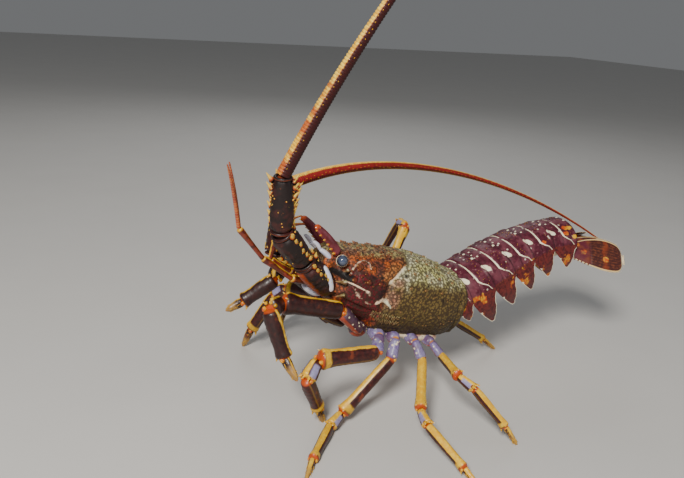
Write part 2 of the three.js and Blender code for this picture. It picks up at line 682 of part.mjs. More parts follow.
// A place on a limb's surface: share of its length, and angle round it from its side
function onLimb(a, b, radius, t, angle) {
  const direction = b.clone().sub(a).normalize();
  const [side, top] = across(direction);
  const out = side.multiplyScalar(Math.cos(rad(angle))).addScaledVector(top, Math.sin(rad(angle)));
  return { at: a.clone().lerp(b, t).addScaledVector(out, radius * 0.92), out, direction };
}

for (const { name, start, end, radius } of antennaJoints) {
  const places = [8, 172].flatMap((angle) => [0.3, 0.62, 0.92].map((t) => [t, angle]));
  dress(name, [...places, [0.92, 90]].map(([t, angle]) => {
    const { at, out, direction } = onLimb(start, end, radius, t, angle);
    direction.addScaledVector(out, 0.9);
    return { at, direction, length: 4 + 3 * t, radius: 1.9, count: 4 };
  }));
}

for (const leg of LEGS) {
  const joints = legJointsByName.get(leg.name);
  for (const [part, half, length] of [['merus', 'upper', 5], ['carpus', 'lower', 4]]) {
    const k = PARTS.indexOf(part);
    const radius = legRadius(leg, part);
    dress(`leg_${leg.name}_${half}`, [50, 130].map((angle) => {
      const { at, out, direction } = onLimb(joints[k], joints[k + 1], radius, 0.9, angle);
      direction.addScaledVector(out, 0.8);
      return { at, direction, length, radius: 1.5, count: 4 };
    }));
  }
}

// The whole, moved so that its origin is on the floor under the middle of its box
const lobster = new THREE.Group();
const box = new THREE.Box3();
for (const [name, { body, material }] of nodes) {
  const mesh = new THREE.Mesh(geometryOf(body), material);
  mesh.name = name;
  mesh.geometry.computeBoundingBox();
  box.union(mesh.geometry.boundingBox);
  lobster.add(mesh);
}
lobster.position.set(-(box.min.x + box.max.x) / 2, -(box.min.y + box.max.y) / 2, 0);

export default lobster;
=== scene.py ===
import math
import random

import bmesh
import bpy
from bpy.props import FloatProperty, FloatVectorProperty, PointerProperty
from mathutils import Matrix, Vector, noise


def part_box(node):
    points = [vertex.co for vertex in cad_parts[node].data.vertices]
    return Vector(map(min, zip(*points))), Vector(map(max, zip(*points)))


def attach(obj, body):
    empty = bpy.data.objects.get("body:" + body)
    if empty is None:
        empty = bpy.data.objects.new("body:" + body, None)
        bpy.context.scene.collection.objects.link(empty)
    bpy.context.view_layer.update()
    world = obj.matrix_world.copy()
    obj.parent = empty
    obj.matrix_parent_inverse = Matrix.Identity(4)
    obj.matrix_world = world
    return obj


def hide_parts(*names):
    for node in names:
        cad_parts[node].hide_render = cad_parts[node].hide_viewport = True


bl_info = {
    "name": "Spiny Lobster Model",
    "version": (1, 0, 0),
    "blender": (4, 5, 0),
    "location": "3D View > Sidebar > Lobster",
    "description": "Life-size still model of a walking spiny lobster",
    "category": "Add Mesh",
}

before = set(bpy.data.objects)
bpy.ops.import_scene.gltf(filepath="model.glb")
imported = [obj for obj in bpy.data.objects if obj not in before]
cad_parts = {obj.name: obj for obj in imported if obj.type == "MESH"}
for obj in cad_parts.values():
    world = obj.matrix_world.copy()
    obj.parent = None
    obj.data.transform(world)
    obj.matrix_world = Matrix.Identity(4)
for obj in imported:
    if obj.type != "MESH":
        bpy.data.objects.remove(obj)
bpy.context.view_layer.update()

# Shapes are worked out in millimetres and finished in metres. The head points to -X and the
# animal's left side to -Y.
MM = 0.001
LEFT, RIGHT = -1, 1
SIDES = (("l", LEFT), ("r", RIGHT))
UP = Vector((0, 0, 1))


# Numbers and directions

def clamp(x, low=0.0, high=1.0):
    return max(low, min(high, x))


def mix(a, b, t):
    return a + (b - a) * t


def smooth(x, low, high):
    """0 below low, 1 above high, and smooth between them."""
    t = clamp((x - low) / (high - low))
    return t * t * (3 - 2 * t)


def near(x, centre, width):
    """1 at the centre, and soon 0 past the width."""
    return math.exp(-((x - centre) / width) ** 2)


def line_gap(a, b, x, y):
    """Distance from a point to the stretch from a to b, all in a plane."""
    dx, dy = b[0] - a[0], b[1] - a[1]
    t = clamp(((x - a[0]) * dx + (y - a[1]) * dy) / (dx * dx + dy * dy))
    return math.hypot(x - a[0] - t * dx, y - a[1] - t * dy)


def power(x, exponent):
    """A power that keeps the sign, which squares off a circle's sine and cosine."""
    return math.copysign(abs(x) ** exponent, x)


def along(pairs, x):
    """A smooth curve through a few (place, value) pairs."""
    last = len(pairs) - 1
    if x <= pairs[0][0]:
        return pairs[0][1]
    if x >= pairs[last][0]:
        return pairs[last][1]
    i = next(k for k, pair in enumerate(pairs) if pair[0] > x) - 1

    def slope(k):
        a, b = pairs[max(k - 1, 0)], pairs[min(k + 1, last)]
        return (b[1] - a[1]) / (b[0] - a[0])

    (x0, y0), (x1, y1) = pairs[i], pairs[i + 1]
    h = x1 - x0
    t = (x - x0) / h
    kept = (1 + 2 * t) * (1 - t) ** 2 * y0 + t * t * (3 - 2 * t) * y1
    return kept + h * (t * (1 - t) ** 2 * slope(i) - t * t * (1 - t) * slope(i + 1))


def across(direction):
    """Two directions across a heading, the second as near to up as it can be."""
    side = direction.cross(UP)
    if side.length < 1e-3:
        side = Vector((0, 1, 0))
    side.normalize()
    return side, side.cross(direction).normalized()


def outward_at(side, top, angle):
    """The direction at an angle round a limb."""
    return side * math.cos(angle) + top * math.sin(angle)


def heading(yaw, lift, side):
    """Yaw runs from straight ahead out to the limb's own side, and lift is above level."""
    turned, raised = math.radians(yaw), math.radians(lift)
    flat = math.cos(raised)
    return Vector((-math.cos(turned) * flat, side * math.sin(turned) * flat, math.sin(raised)))


# The body's own coordinates: u runs back from the brow, v out to the left, w up. The head is pitched
# up about the pivot, a place on the u axis.
PIVOT = 80
PITCH = math.radians(13)
BODY_HEIGHT = 106


def place(u, v, w):
    """A place of the body's own coordinates."""
    back = u - PIVOT
    x = back * math.cos(PITCH) + w * math.sin(PITCH)
    z = -back * math.sin(PITCH) + w * math.cos(PITCH)
    return Vector((x, -v, z + BODY_HEIGHT))


def beside(side, u, v, w):
    """A place with v counted outwards on one side of the body."""
    return place(u, -side * v, w)


def turn(u, v, w):
    """A direction in the body's own coordinates."""
    return place(u, v, w) - place(0, 0, 0)


# The carapace's outline, as (place, share of the full measure) pairs
FRONT_EDGE, REAR_RIM = -6, 140
HALF_WIDTH = ((-6, 0.5), (0, 0.6), (14, 0.78), (40, 0.92), (80, 1), (120, 1), (136, 0.93), (140, 0.88))
RISE = ((-6, 0.58), (0, 0.7), (16, 0.8), (45, 0.86), (75, 0.88), (100, 0.82), (122, 0.68), (140, 0.54))
DEPTH = ((-6, 0.35), (0, 0.45), (16, 0.75), (40, 0.97), (90, 1.02), (125, 0.98), (140, 0.84))
BODY_HALF_WIDTH, BODY_RISE, BODY_DEPTH = 39, 36, 40
# Height of the body's underside
SOLE = -40
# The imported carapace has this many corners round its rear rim
RIM_CORNERS = 24


def shell_point(u, angle, lift=0.0):
    """The carapace at a place and an angle round it, from its left side over the top."""
    c, s = math.cos(angle), math.sin(angle)
    wide = BODY_HALF_WIDTH * along(HALF_WIDTH, u) + lift
    v = wide * power(c, 0.92 if s >= 0 else 0.62)
    if s >= 0:
        w = (BODY_RISE * along(RISE, u) + lift) * power(s, 0.96)
    else:
        w = (BODY_DEPTH * along(DEPTH, u) + lift) * power(s, 0.55)
    return place(u, v, w)


def frame_shift():
    """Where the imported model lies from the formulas, read off the carapace's own box."""
    low, high = (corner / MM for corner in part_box("carapace"))
    ring = [shell_point(REAR_RIM, 2 * math.pi * (i + 0.5) / RIM_CORNERS).x for i in range(RIM_CORNERS)]
    return Vector((high.x - max(ring), (low.y + high.y) / 2, 0))


SHIFT = frame_shift()


# Sizes and colours that a user may change

def size(name, description, default):
    return FloatProperty(name=name, description=description, default=default, min=0, unit="LENGTH")


def share(name, description, default):
    return FloatProperty(name=name, description=description, default=default, min=0, max=3, subtype="FACTOR")


def colour(name, description, default):
    return FloatVectorProperty(name=name, description=description, default=default, size=3,
                               min=0, max=1, subtype="COLOR")


class LobsterSizes(bpy.types.PropertyGroup):
    """Sizes of the fine forms that stand on the shell."""

    spine_scale: share("Spine scale", "Length of all spines against the usual one", 1.0)
    granule: size("Granule height", "How far the coarse grains stand above the carapace", 0.0004)
    horn_width: size("Horn width", "Width of the horns over the eyes at their roots", 0.009)
    eye_radius: size("Eye radius", "Radius of the eye's dome", 0.005)
    whip_root: size("Whip root radius", "Radius of the antenna whips where they start", 0.0056)
    whip_tip: size("Whip tip radius", "Radius of the antenna whips at their ends", 0.0010)


class LobsterColours(bpy.types.PropertyGroup):
    """Colours of the shell and limbs."""

    olive: colour("Olive", "The carapace behind the neck groove", (0.165, 0.11, 0.03))
    moss: colour("Moss", "Pale green on the carapace's top", (0.46, 0.44, 0.17))
    rust: colour("Rust", "The carapace in front of the neck groove", (0.48, 0.10, 0.012))
    burgundy: colour("Burgundy", "The cheeks, horns and dark limb sides", (0.13, 0.007, 0.012))
    plum: colour("Plum", "The tail's shell", (0.105, 0.010, 0.026))
    cream: colour("Cream", "Furrows, blotches and pale edges", (0.86, 0.74, 0.48))
    amber: colour("Amber", "Limb stripes and spines", (0.72, 0.38, 0.008))
    orange: colour("Orange", "Limb joints and lower edges", (0.52, 0.07, 0.004))
    lilac: colour("Lilac", "Smooth skin at the antennae", (0.60, 0.62, 0.84))
    violet: colour("Violet", "Smooth skin at the leg roots", (0.13, 0.06, 0.24))
    whip: colour("Whip red", "The antenna whips", (0.30, 0.010, 0.009))


# Surfaces

def show(name, data):
    """Makes an object of the data and puts it in the scene."""
    shown = bpy.data.objects.new(name, data)
    bpy.context.scene.collection.objects.link(shown)
    return shown


class Piece:
    """Closed surfaces in millimetres that are gathered into one mesh."""

    def __init__(self):
        self.bm = bmesh.new()
        self.bm.loops.layers.uv.new("Along")
        self.paint = self.bm.verts.layers.float_vector.new("paint")
        self.mark = self.bm.verts.layers.float_vector.new("mark")

    def wrap(self, rows, columns, point):
        """Bends a grid into a closed tube. point(t, s) gives a place, its paint and its mark."""
        made = bmesh.ops.create_grid(self.bm, x_segments=rows, y_segments=columns, size=0.5, calc_uvs=True)
        for vert in made["verts"]:
            t = round((vert.co.x + 0.5) * rows) / rows
            s = round((vert.co.y + 0.5) * columns) % columns / columns
            spot, paint, mark = point(t, s)
            vert.co = spot
            vert[self.paint] = paint
            vert[self.mark] = mark
        bmesh.ops.remove_doubles(self.bm, verts=made["verts"], dist=1e-4)

    def finish(self, name, look, replaced, slot):
        """Makes the object: its mesh takes the model's place in metres and it rides on the body."""
        bm = self.bm
        bmesh.ops.recalc_face_normals(bm, faces=bm.faces)
        to_metres = Matrix.Scale(MM, 4) @ Matrix.Translation(SHIFT)
        bmesh.ops.transform(bm, matrix=to_metres, verts=bm.verts)
        for face in bm.faces:
            face.smooth = True
        mesh = bpy.data.meshes.new(name)
        bm.to_mesh(mesh)
        bm.free()
        mesh.materials.append(material(look))
        piece = show(name, mesh)
        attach(piece, "root")
        if replaced:
            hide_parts(*replaced)


# The mark of a surface without marks
PLAIN = (0.0, 0.0, 0.0)


def eased(t):
    """Crowds rows towards both ends, so that round ends come out round."""
    return 0.5 - 0.5 * math.cos(math.pi * t)


def rounded(t, length, radius):
    """Share of the full radius near the ends of a stretch, as on a capsule with blunt ends."""
    cap = min(0.45, 0.7 * radius / max(length, 1e-6))
    edge = min(t, 1 - t)
    if edge >= cap:
        return 1.0
    return math.sqrt(max(0.0, 1 - (1 - edge / cap) ** 2))


def limb(piece, a, b, radius, profile, flat=1.0, rows=22, columns=16, bow=0.0,
         kind=0.0, square=1.0, rough=0.0, seed=0.0, keel=0.0, tone=0.0):
    """A stretch of limb from a to b. paint holds the place along it, the height round it and its kind."""
    direction = (b - a).normalized()
    length = (b - a).length
    side, top = across(direction)

    def point(t, s):
        t = eased(t)
        angle = 2 * math.pi * s
        c, h = power(math.cos(angle), square), power(math.sin(angle), square)
        wide = radius * along(profile, t) * rounded(t, length, radius)
        spot = a.lerp(b, t) + top * (bow * 4 * t * (1 - t))
        if rough:
            wide *= 1 + rough * noise.noise(Vector((t * length * 0.35, 2.3 * c + seed, 2.3 * h)))
        ridge = 1 + keel * max(h, 0.0) ** 12
        spot = spot + side * (wide * c) + top * (wide * flat * h * ridge)
        return spot, (t, math.sin(angle), kind), (tone, 0.0, 0.0)

    piece.wrap(rows, columns, point)


def spike(piece, at, direction, length, radius, bend=None, rows=6, columns=8, tone=0.0, paint=None):
    """A curved thorn with a flared, sunk root. mark.z runs from its root to its tip. A thorn that takes
    the colour of the shell under it is given the shell's paint."""
    way = direction.normalized()
    side, top = across(way)
    bend = bend or Vector((0, 0, 0))
    sunk = radius * 0.9

    def point(t, s):
        angle = 2 * math.pi * s
        go = -sunk + (length + sunk) * t
        up = clamp(go / length)
        wide = radius * (1 - up) ** 0.8 * (1 + 0.45 * math.exp(-5 * up))
        wide *= 0.0 if t in (0.0, 1.0) else 1.0
        spot = at + way * go + bend * (length * up * up)
        spot = spot + side * (wide * math.cos(angle)) + top * (wide * math.sin(angle))
        return spot, paint or (up, math.sin(angle), 0.0), (0.0, tone, max(up, 0.02))

    piece.wrap(rows, columns, point)


def ball(piece, centre, radii, axes, rows=24, columns=32, kind=0.0):
    """A sphere or egg on three axes, the first one its pole. paint.x runs from pole to pole."""
    def point(t, s):
        turn_to = math.pi * t
        angle = 2 * math.pi * s
        spot = centre + axes[0] * (radii[0] * math.cos(turn_to))
        spot = spot + axes[1] * (radii[1] * math.sin(turn_to) * math.cos(angle))
        spot = spot + axes[2] * (radii[2] * math.sin(turn_to) * math.sin(angle))
        return spot, (t, math.sin(angle), kind), PLAIN

    piece.wrap(rows, columns, point)


def planter(piece, a, b, reach, lean, scale, curve):
    """Gives a function that plants a spine at a share along the stretch from a to b and degrees round it."""
    direction = (b - a).normalized()
    side, top = across(direction)

    def plant(t, degrees, long, wide):
        out = outward_at(side, top, math.radians(degrees))
        spike(piece, a.lerp(b, t) + out * reach, direction + out * lean, long * scale, wide,
              bend=direction * curve)

    return plant


def collar(piece, centre, axis, radius, thick, flat=1.0):
    """A ring round an axis."""
    rows, columns = 48, 12
    side, top = across(axis.normalized())
    made = bmesh.ops.create_grid(piece.bm, x_segments=rows, y_segments=columns, size=0.5, calc_uvs=True)
    for vert in made["verts"]:
        round_axis = 2 * math.pi * (round((vert.co.x + 0.5) * rows) % rows) / rows
        section = 2 * math.pi * (round((vert.co.y + 0.5) * columns) % columns) / columns
        out = side * math.cos(round_axis) + top * (math.sin(round_axis) * flat)
        reach = radius + thick * math.cos(section)
        vert.co = centre + out * reach + axis.normalized() * (thick * math.sin(section))
        vert[piece.paint] = (0.5 + 0.5 * math.cos(section), math.sin(round_axis), 0.0)
    bmesh.ops.remove_doubles(piece.bm, verts=made["verts"], dist=1e-4)


# Shader values and finishes

class Value:
    """One value in a shader. Arithmetic on values adds Math nodes."""

    def __init__(self, finish, socket):
        self.finish = finish
        self.socket = socket

    def math(self, operation, *others):
        items = dict(enumerate((self, *others)))
        return self.finish.add("ShaderNodeMath", {"operation": operation}, items)

    def __add__(self, other):
        return self.math("ADD", other)

    __radd__ = __add__

    def __sub__(self, other):
        return self.math("SUBTRACT", other)

    def __rsub__(self, other):
        return self.finish.add("ShaderNodeMath", {"operation": "SUBTRACT"}, {0: other, 1: self})

    def __mul__(self, other):
        return self.math("MULTIPLY", other)

    __rmul__ = __mul__

    def step(self, low, high):
        """0 below low, 1 above high, and smooth between them."""
        return self.finish.add("ShaderNodeMapRange", {"interpolation_type": "SMOOTHSTEP"},
                               {"Value": self, "From Min": low, "From Max": high})

    def band(self, low, high, soft):
        """1 between low and high, with soft edges."""
        return self.step(low - soft, low + soft) * (1 - self.step(high - soft, high + soft))


class Finish:
    """A material under construction."""

    def __init__(self, name):
        self.material = bpy.data.materials.new(name)
        self.material.use_nodes = True
        self.tree = self.material.node_tree
        self.tree.nodes.clear()
        self.object = self.add("ShaderNodeTexCoord", out="Object")

    def add(self, kind, settings=None, inputs=None, out=0):
        """Adds a node: its settings first, then the values or links of its sockets."""
        node = self.tree.nodes.new(kind)
        for key, value in (settings or {}).items():
            setattr(node, key, value)
        for key, value in (inputs or {}).items():
            if isinstance(value, Value):
                self.tree.links.new(value.socket, node.inputs[key])
            else:
                node.inputs[key].default_value = value
        return Value(self, node.outputs[out])

    def noise(self, scale, detail=3.0, roughness=0.55, at=None):
        """Soft clouds from 0 to 1."""
        return self.add("ShaderNodeTexNoise", None, {"Vector": at or self.object, "Scale": scale,
                                                     "Detail": detail, "Roughness": roughness})

    def cells(self, scale, randomness=1.0):
        """Distance to the nearest of many scattered points."""
        return self.add("ShaderNodeTexVoronoi", None,
                        {"Vector": self.object, "Scale": scale, "Randomness": randomness})

    def attribute(self, name):
        """The three values of a piece's paint or mark."""
        vector = self.add("ShaderNodeAttribute", {"attribute_name": name}, out="Vector")
        return [self.add("ShaderNodeSeparateXYZ", None, {"Vector": vector}, out=axis) for axis in "XYZ"]

    def blend(self, mask, a, b):
        """Colour a where the mask is 0, and b where it is 1."""
        a, b = ((*c, 1.0) if isinstance(c, (tuple, list)) else c for c in (a, b))
        return self.add("ShaderNodeMix", {"data_type": "RGBA"}, {0: mask, 6: a, 7: b}, out=2)

    def layers(self, base, *coats):
        """Lays (mask, colour) coats over a base colour."""
        for mask, tint in coats:
            base = self.blend(mask, base, tint)
        return base

    def close(self, base, roughness, bumps=(), **constants):
        """The surface shader: bumps are (height, distance in millimetres, strength)."""
        inputs = {"Base Color": base if isinstance(base, Value) else (*base, 1.0), "Roughness": roughness}
        normal = None
        for height, distance, strength in bumps:
            bump = {"Height": height, "Distance": distance * MM, "Strength": strength}
            if normal:
                bump["Normal"] = normal
            normal = self.add("ShaderNodeBump", None, bump)
        if normal:
            inputs["Normal"] = normal
        inputs.update(constants)
        shader = self.add("ShaderNodeBsdfPrincipled", None, inputs)
        output = self.tree.nodes.new("ShaderNodeOutputMaterial")
        self.tree.links.new(shader.socket, output.inputs["Surface"])
        return self.material


def tints():
    """The colours now set, as plain tuples."""
    colours = bpy.context.scene.lobster_colours
    return {name: tuple(getattr(colours, name)) for name in LobsterColours.__annotations__}


def dark(tone, amount):
    """A colour at a share of its brightness."""
    return tuple(c * amount for c in tone)


def carapace_material(f, c):
    """Olive behind the neck groove and rust before it. paint holds the place behind the groove, the
    height, and dark spots with painted shade in the eye hollow and under the neck groove, and mark
    the pale lines, the cheek and the spines."""
    behind, height, spots_and_shade = f.attribute("paint")
    pale, cheek, tip = f.attribute("mark")
    patchy = f.noise(80, 3, 0.6)
    fine = f.noise(420, 3, 0.7)
    grains = f.cells(430)
    # Dark between the grains, where the bumps are low: partly the shell's dark speckle, partly painted shade
    speckle_and_gap_shade = grains.step(0.36, 0.58)
    dots = 1 - f.cells(150).step(0.10, 0.2)
    wavy = patchy - 0.5
    rear = (behind + wavy * 0.14).step(-0.03, 0.03)
    moss = (height - behind * 0.25 + wavy * 0.7).step(-0.04, 0.46)
    # Darker olive-brown low on the flank: partly the shell's own colour, partly painted shade
    low = 1 - (height + wavy * 0.3).step(-0.5, 0.05)
    back = f.layers(
        f.blend(patchy.step(0.35, 0.65), dark(c["olive"], 0.75), c["olive"]),
        (moss, f.blend(patchy.step(0.4, 0.65), c["moss"], (0.58, 0.56, 0.36))),
        (low * 0.85, dark(c["olive"], 0.3)),
    )
    crown = (height + wavy * 0.3).step(0.82, 0.95)
    ember = behind.band(-0.24, 0.02, 0.06) * (height + wavy * 0.4).band(0.25, 0.8, 0.1)
    front = f.layers(
        f.blend(patchy.step(0.38, 0.6), (0.15, 0.04, 0.025), c["rust"]),
        (ember * 0.8, (0.52, 0.20, 0.05)),
        (crown * 0.8, f.blend(patchy.step(0.42, 0.56), (0.30, 0.17, 0.08), dark(c["moss"], 0.8))),
        (cheek, f.blend(patchy.step(0.35, 0.65), dark(c["burgundy"], 0.55), c["burgundy"])),
    )
    flush = behind.band(0.01, 0.2, 0.06) * (height + wavy * 0.3).band(-0.12, 0.46, 0.1)
    base = f.layers(
        f.blend(rear, front, back),
        (flush * patchy.step(0.3, 0.5) * 0.8,
         f.blend(fine.step(0.3, 0.6), (0.22, 0.05, 0.045), (0.60, 0.30, 0.18))),
        (speckle_and_gap_shade * 0.8, (0.028, 0.014, 0.007)),
        (dots * (0.95 - rear * 0.5), (0.02, 0.01, 0.008)),
        # The shell's dark spots, and painted shade in the eye hollow and under the neck groove
        (spots_and_shade, (0.007, 0.004, 0.004)),
        ((pale + (fine - 0.5) * 0.9 + wavy * 1.1).step(0.3, 0.8),
         f.blend(rear, (0.80, 0.58, 0.40), (0.64, 0.62, 0.44))),
        (tip.step(0.01, 0.4) * 0.8, f.blend(rear, (0.15, 0.035, 0.012), (0.17, 0.09, 0.03))),
        (tip.step(0.55, 0.95) * 0.7, (0.50, 0.24, 0.08)),
    )
    return f.close(base, 0.5 + fine * 0.2 + spots_and_shade * 0.25, [(1 - grains, 0.6, 0.7), (fine, 0.15, 0.5)],
                   **{"Coat Weight": 0.08, "Coat Roughness": 0.35, "Specular IOR Level": 0.3})


def horn_material(f, c):
    """Maroon plates with orange ends and amber teeth."""
    place_on, height, _ = f.attribute("paint")
    _, _, tip = f.attribute("mark")
    fine = f.noise(300, 4, 0.6)
    streak = f.noise(120, 3)
    base = f.layers(
        f.blend(streak.step(0.35, 0.65), dark(c["burgundy"], 0.7), (0.20, 0.028, 0.045)),
        ((place_on + (fine - 0.5) * 0.1).step(0.86, 0.97), c["orange"]),
        ((1 - (height + (fine - 0.5) * 0.6).step(-0.9, -0.5)) * 0.6, c["orange"]),
        (tip.step(0.02, 0.3), c["orange"]),
        (tip.step(0.2, 0.6), c["amber"]),
    )
    return f.close(base, 0.35 + fine * 0.2, [(f.noise(700, 3), 0.2, 0.4)], **{"Coat Weight": 0.3})


def eye_material(f, c):
    """Dark blue, painted lighter at the outer pole as painted light, with a cream rim. paint.x runs from
    the dome's outer pole to its inner one.
    """
    pole, _, _ = f.attribute("paint")
    facets = f.cells(2600, randomness=0.15)
    base = f.layers(
        # Painted light: lighter blue at the outer pole, darker towards the rim
        f.blend(pole.step(0.0, 0.4), (0.07, 0.09, 0.15), (0.02, 0.028, 0.05)),
        (pole.step(0.43, 0.47), c["cream"]),
    )
    return f.close(base, 0.07, [(facets, 0.02, 0.15)], **{"Coat Weight": 0.8, "Coat Roughness": 0.04})


def stalk_material(f, c):
    """Eye stalks and skin at the eyes: cream with orange."""
    fine = f.noise(300, 4)
    base = f.layers(f.blend(fine.step(0.35, 0.65), c["cream"], (0.85, 0.62, 0.45)),
                    (f.noise(140).step(0.5, 0.6), c["orange"]))
    return f.close(base, 0.4, [(f.noise(900), 0.15, 0.4)], **{"Subsurface Weight": 0.05})


def skin_material(f, c):
    """Smooth lilac skin and bars between the plates."""
    fine = f.noise(160, 4)
    base = f.layers(f.blend(fine.step(0.3, 0.7), c["lilac"], (0.78, 0.76, 0.82)),
                    (f.noise(70, 2).step(0.56, 0.66) * 0.35, (0.80, 0.62, 0.58)))
    return f.close(base, 0.35, [(f.noise(700), 0.1, 0.3)], **{"Coat Weight": 0.3})


def peduncle_material(f, c):
    """The antennae's stout joints: dark maroon painted near-black as shade, with amber spines."""
    place_on, height, kind = f.attribute("paint")
    _, _, tip = f.attribute("mark")
    fine = f.noise(300, 4, 0.65)
    broad = f.noise(85, 3)
    lower = (1 - (height + (broad - 0.5) * 0.4).step(-0.97, -0.84)) * kind.step(0.6, 0.8)
    base = f.layers(
        # Near-black base: the joints' dark maroon darkened as painted shade
        f.blend(broad.step(0.45, 0.62), (0.009, 0.003, 0.003), (0.040, 0.007, 0.006)),
        (fine.step(0.62, 0.7) * 0.5, (0.17, 0.045, 0.015)),
        (lower * 0.75, dark(c["orange"], 0.8)),
        ((place_on + (fine - 0.5) * 0.06).step(0.96, 0.99) * 0.6, dark(c["orange"], 0.5)),
        (tip.step(0.01, 0.2), dark(c["orange"], 0.8)),
        (tip.step(0.12, 0.45), (0.66, 0.42, 0.06)),
    )
    return f.close(base, 0.42 + fine * 0.2, [(fine, 0.3, 0.5), (f.cells(420), 0.3, 0.4)],
                   **{"Coat Weight": 0.12, "Coat Roughness": 0.2, "Specular IOR Level": 0.35})


def whip_material(f, c):
    """Dark red rings, amber in bands on top. The lit whip is painted as lit: orange and yellow on its lit
    side. Both whips are painted with shade on their lower side. paint holds the ring's phase, the height
    and the distance along in decimetres, and mark how much of the whip is painted as lit and its thorns."""
    ring, height, far = f.attribute("paint")
    _, lit, tip = f.attribute("mark")
    fine = f.noise(300, 3)
    slow = f.noise(1.0, 2, at=f.add("ShaderNodeCombineXYZ", None, {"X": far * 6.0, "Y": 0.0, "Z": 0.0}))
    bands = (slow + far.step(0.6, 1.3) * 0.35).step(0.44, 0.56)
    wavy = (fine - 0.5) * 0.3
    # On the lit whip the whole lit side is painted yellow in bands as painted light; on the other whip this
    # is a pale line on top
    upper = (height + wavy * 0.5 + lit * 0.5).step(0.72, 0.9) * (1 - lit * (1 - bands) * 0.95)
    # Painted shade: the lower side of both whips is painted near-black, more deeply on the lit whip
    shade = 1 - (height + wavy * 0.4 - lit * 0.4).step(-0.35, 0.1)
    # Painted light: the lit side of the lit whip is painted orange-red
    painted_lit_red = lit * (height + wavy).step(0.0, 0.4)
    scallop = 1 - (height + ring * 0.5).step(-0.6, -0.3)
    base = f.layers(
        f.blend(fine.step(0.3, 0.7), dark(c["whip"], 0.65), c["whip"]),
        (painted_lit_red * 0.85, f.blend(fine.step(0.35, 0.65), (0.42, 0.07, 0.014), (0.56, 0.15, 0.03))),
        (shade * (0.7 + lit * 0.25), (0.022, 0.003, 0.003)),
        (scallop * (1 - lit) * 0.85, c["amber"]),
        (upper, f.blend(fine.step(0.4, 0.6), (0.74, 0.38, 0.02), (0.86, 0.58, 0.08))),
        ((1 - ring.step(0.08, 0.3)) * 0.55, (0.10, 0.012, 0.008)),
        (tip.step(0.01, 0.4), c["amber"]),
    )
    return f.close(base, 0.55, [(fine, 0.1, 0.4)], **{"Coat Weight": 0.05, "Specular IOR Level": 0.3})


def lash_material(f, c):
    """Slender orange-red feelers with fine rings."""
    place_on, height, kind = f.attribute("paint")
    rings = f.add("ShaderNodeMath", {"operation": "FRACT"}, {0: place_on * 26})
    banded = rings.band(0.1, 0.55, 0.08) * kind
    base = f.layers(
        f.blend(f.noise(200).step(0.4, 0.6), c["whip"], (0.50, 0.10, 0.02)),
        ((1 - kind) * 0.85,
         f.blend(f.noise(160).step(0.45, 0.6), (0.030, 0.006, 0.005), (0.17, 0.025, 0.010))),
        # A yellow top edge on stems and lashes: partly their own yellow stripe, partly a painted highlight
        ((height + (f.noise(120) - 0.5) * 0.8).step(0.72, 0.86) * 0.9, c["amber"]),
        (banded * 0.4, (0.62, 0.34, 0.12)),
        (place_on.step(0.93, 0.98) * (1 - kind) * 0.8, c["amber"]),
    )
    return f.close(base, 0.4, [(rings * kind, 0.12, 0.5)])


def leg_material(f, c):
    """Dark shell with gold crests and orange ends, and violet roots; the first pair is painted darker as
    shade. paint holds the place along a stretch, the height and the stretch's kind, and mark how yellow
    the leg is, below zero for the first pair painted in shade, and its spines."""
    place_on, height, kind = f.attribute("paint")
    yellow, _, tip = f.attribute("mark")
    fine = f.noise(320, 4, 0.65)
    broad = f.noise(80, 3)
    wavy = (broad - 0.5) * 0.3
    root = kind.step(0.72, 0.78)
    knob = kind.band(0.66, 0.74, 0.01)
    carpus = kind.band(0.15, 0.25, 0.02)
    claw = kind.band(0.55, 0.65, 0.02)
    crest = (height + wavy * 0.5 + yellow * 0.9).step(0.9, 0.95)
    flank = (height + wavy).band(-0.6, -0.42, 0.06)
    ends = 1 - place_on.band(0.05, 0.95, 0.02)
    # The first pair is painted darker as shade, and its stripes and violet patches are left off
    first = 1 - yellow.step(-0.04, -0.01)
    belt = (place_on + wavy * 0.2).band(0.84, 0.93, 0.02) * (1 - first)
    patch = (height + wavy).band(0.1, 0.85, 0.08) * place_on.band(0.28, 0.85, 0.06)
    gold = f.blend(fine.step(0.4, 0.7), c["amber"], (0.84, 0.56, 0.04))
    shell = f.layers(
        f.blend(fine.step(0.3, 0.7), (0.020, 0.004, 0.004), (0.070, 0.010, 0.008)),
        (broad.step(0.6, 0.68) * 0.5, (0.26, 0.05, 0.012)),
        # Painted shade over the first pair
        (first * 0.55, (0.008, 0.003, 0.003)),
        (flank * 0.5 * (1 - first), dark(c["amber"], 0.4)),
        (belt * (1 - claw) * 0.8, gold),
        (crest, gold),
        (carpus * patch * (1 - first), f.blend(fine, c["violet"], dark(c["lilac"], 0.7))),
        (ends, f.blend(fine, dark(c["orange"], 0.7), c["orange"])),
        (knob, f.blend(fine.step(0.4, 0.6), c["orange"], c["amber"])),
        (claw * place_on.step(0.3, 0.6) * 0.7, (0.40, 0.22, 0.06)),
    )
    spots = 1 - f.cells(210).step(0.16, 0.26)
    pale = f.layers(f.blend(fine.step(0.2, 0.9), c["violet"], dark(c["lilac"], 0.5)),
                    (broad.step(0.5, 0.6) * 0.6, (0.09, 0.02, 0.05)),
                    # Painted shade over the first pair's roots
                    (first * 0.85, (0.045, 0.010, 0.012)),
                    (spots * 0.8, c["cream"]),
                    ((1 - (height + wavy).step(-0.6, -0.3)) * 0.6, c["orange"]),
                    (ends * 0.9, f.blend(fine, c["orange"], c["amber"])))
    base = f.layers(f.blend(root, shell, pale), (tip.step(0.01, 0.35), c["amber"]),
                    (tip.step(0.7, 0.95), c["cream"]))
    return f.close(base, 0.34 + fine * 0.22, [(fine, 0.2, 0.4), (f.noise(1000, 2), 0.08, 0.4)],
                   **{"Coat Weight": 0.18, "Coat Roughness": 0.2, "Specular IOR Level": 0.4})


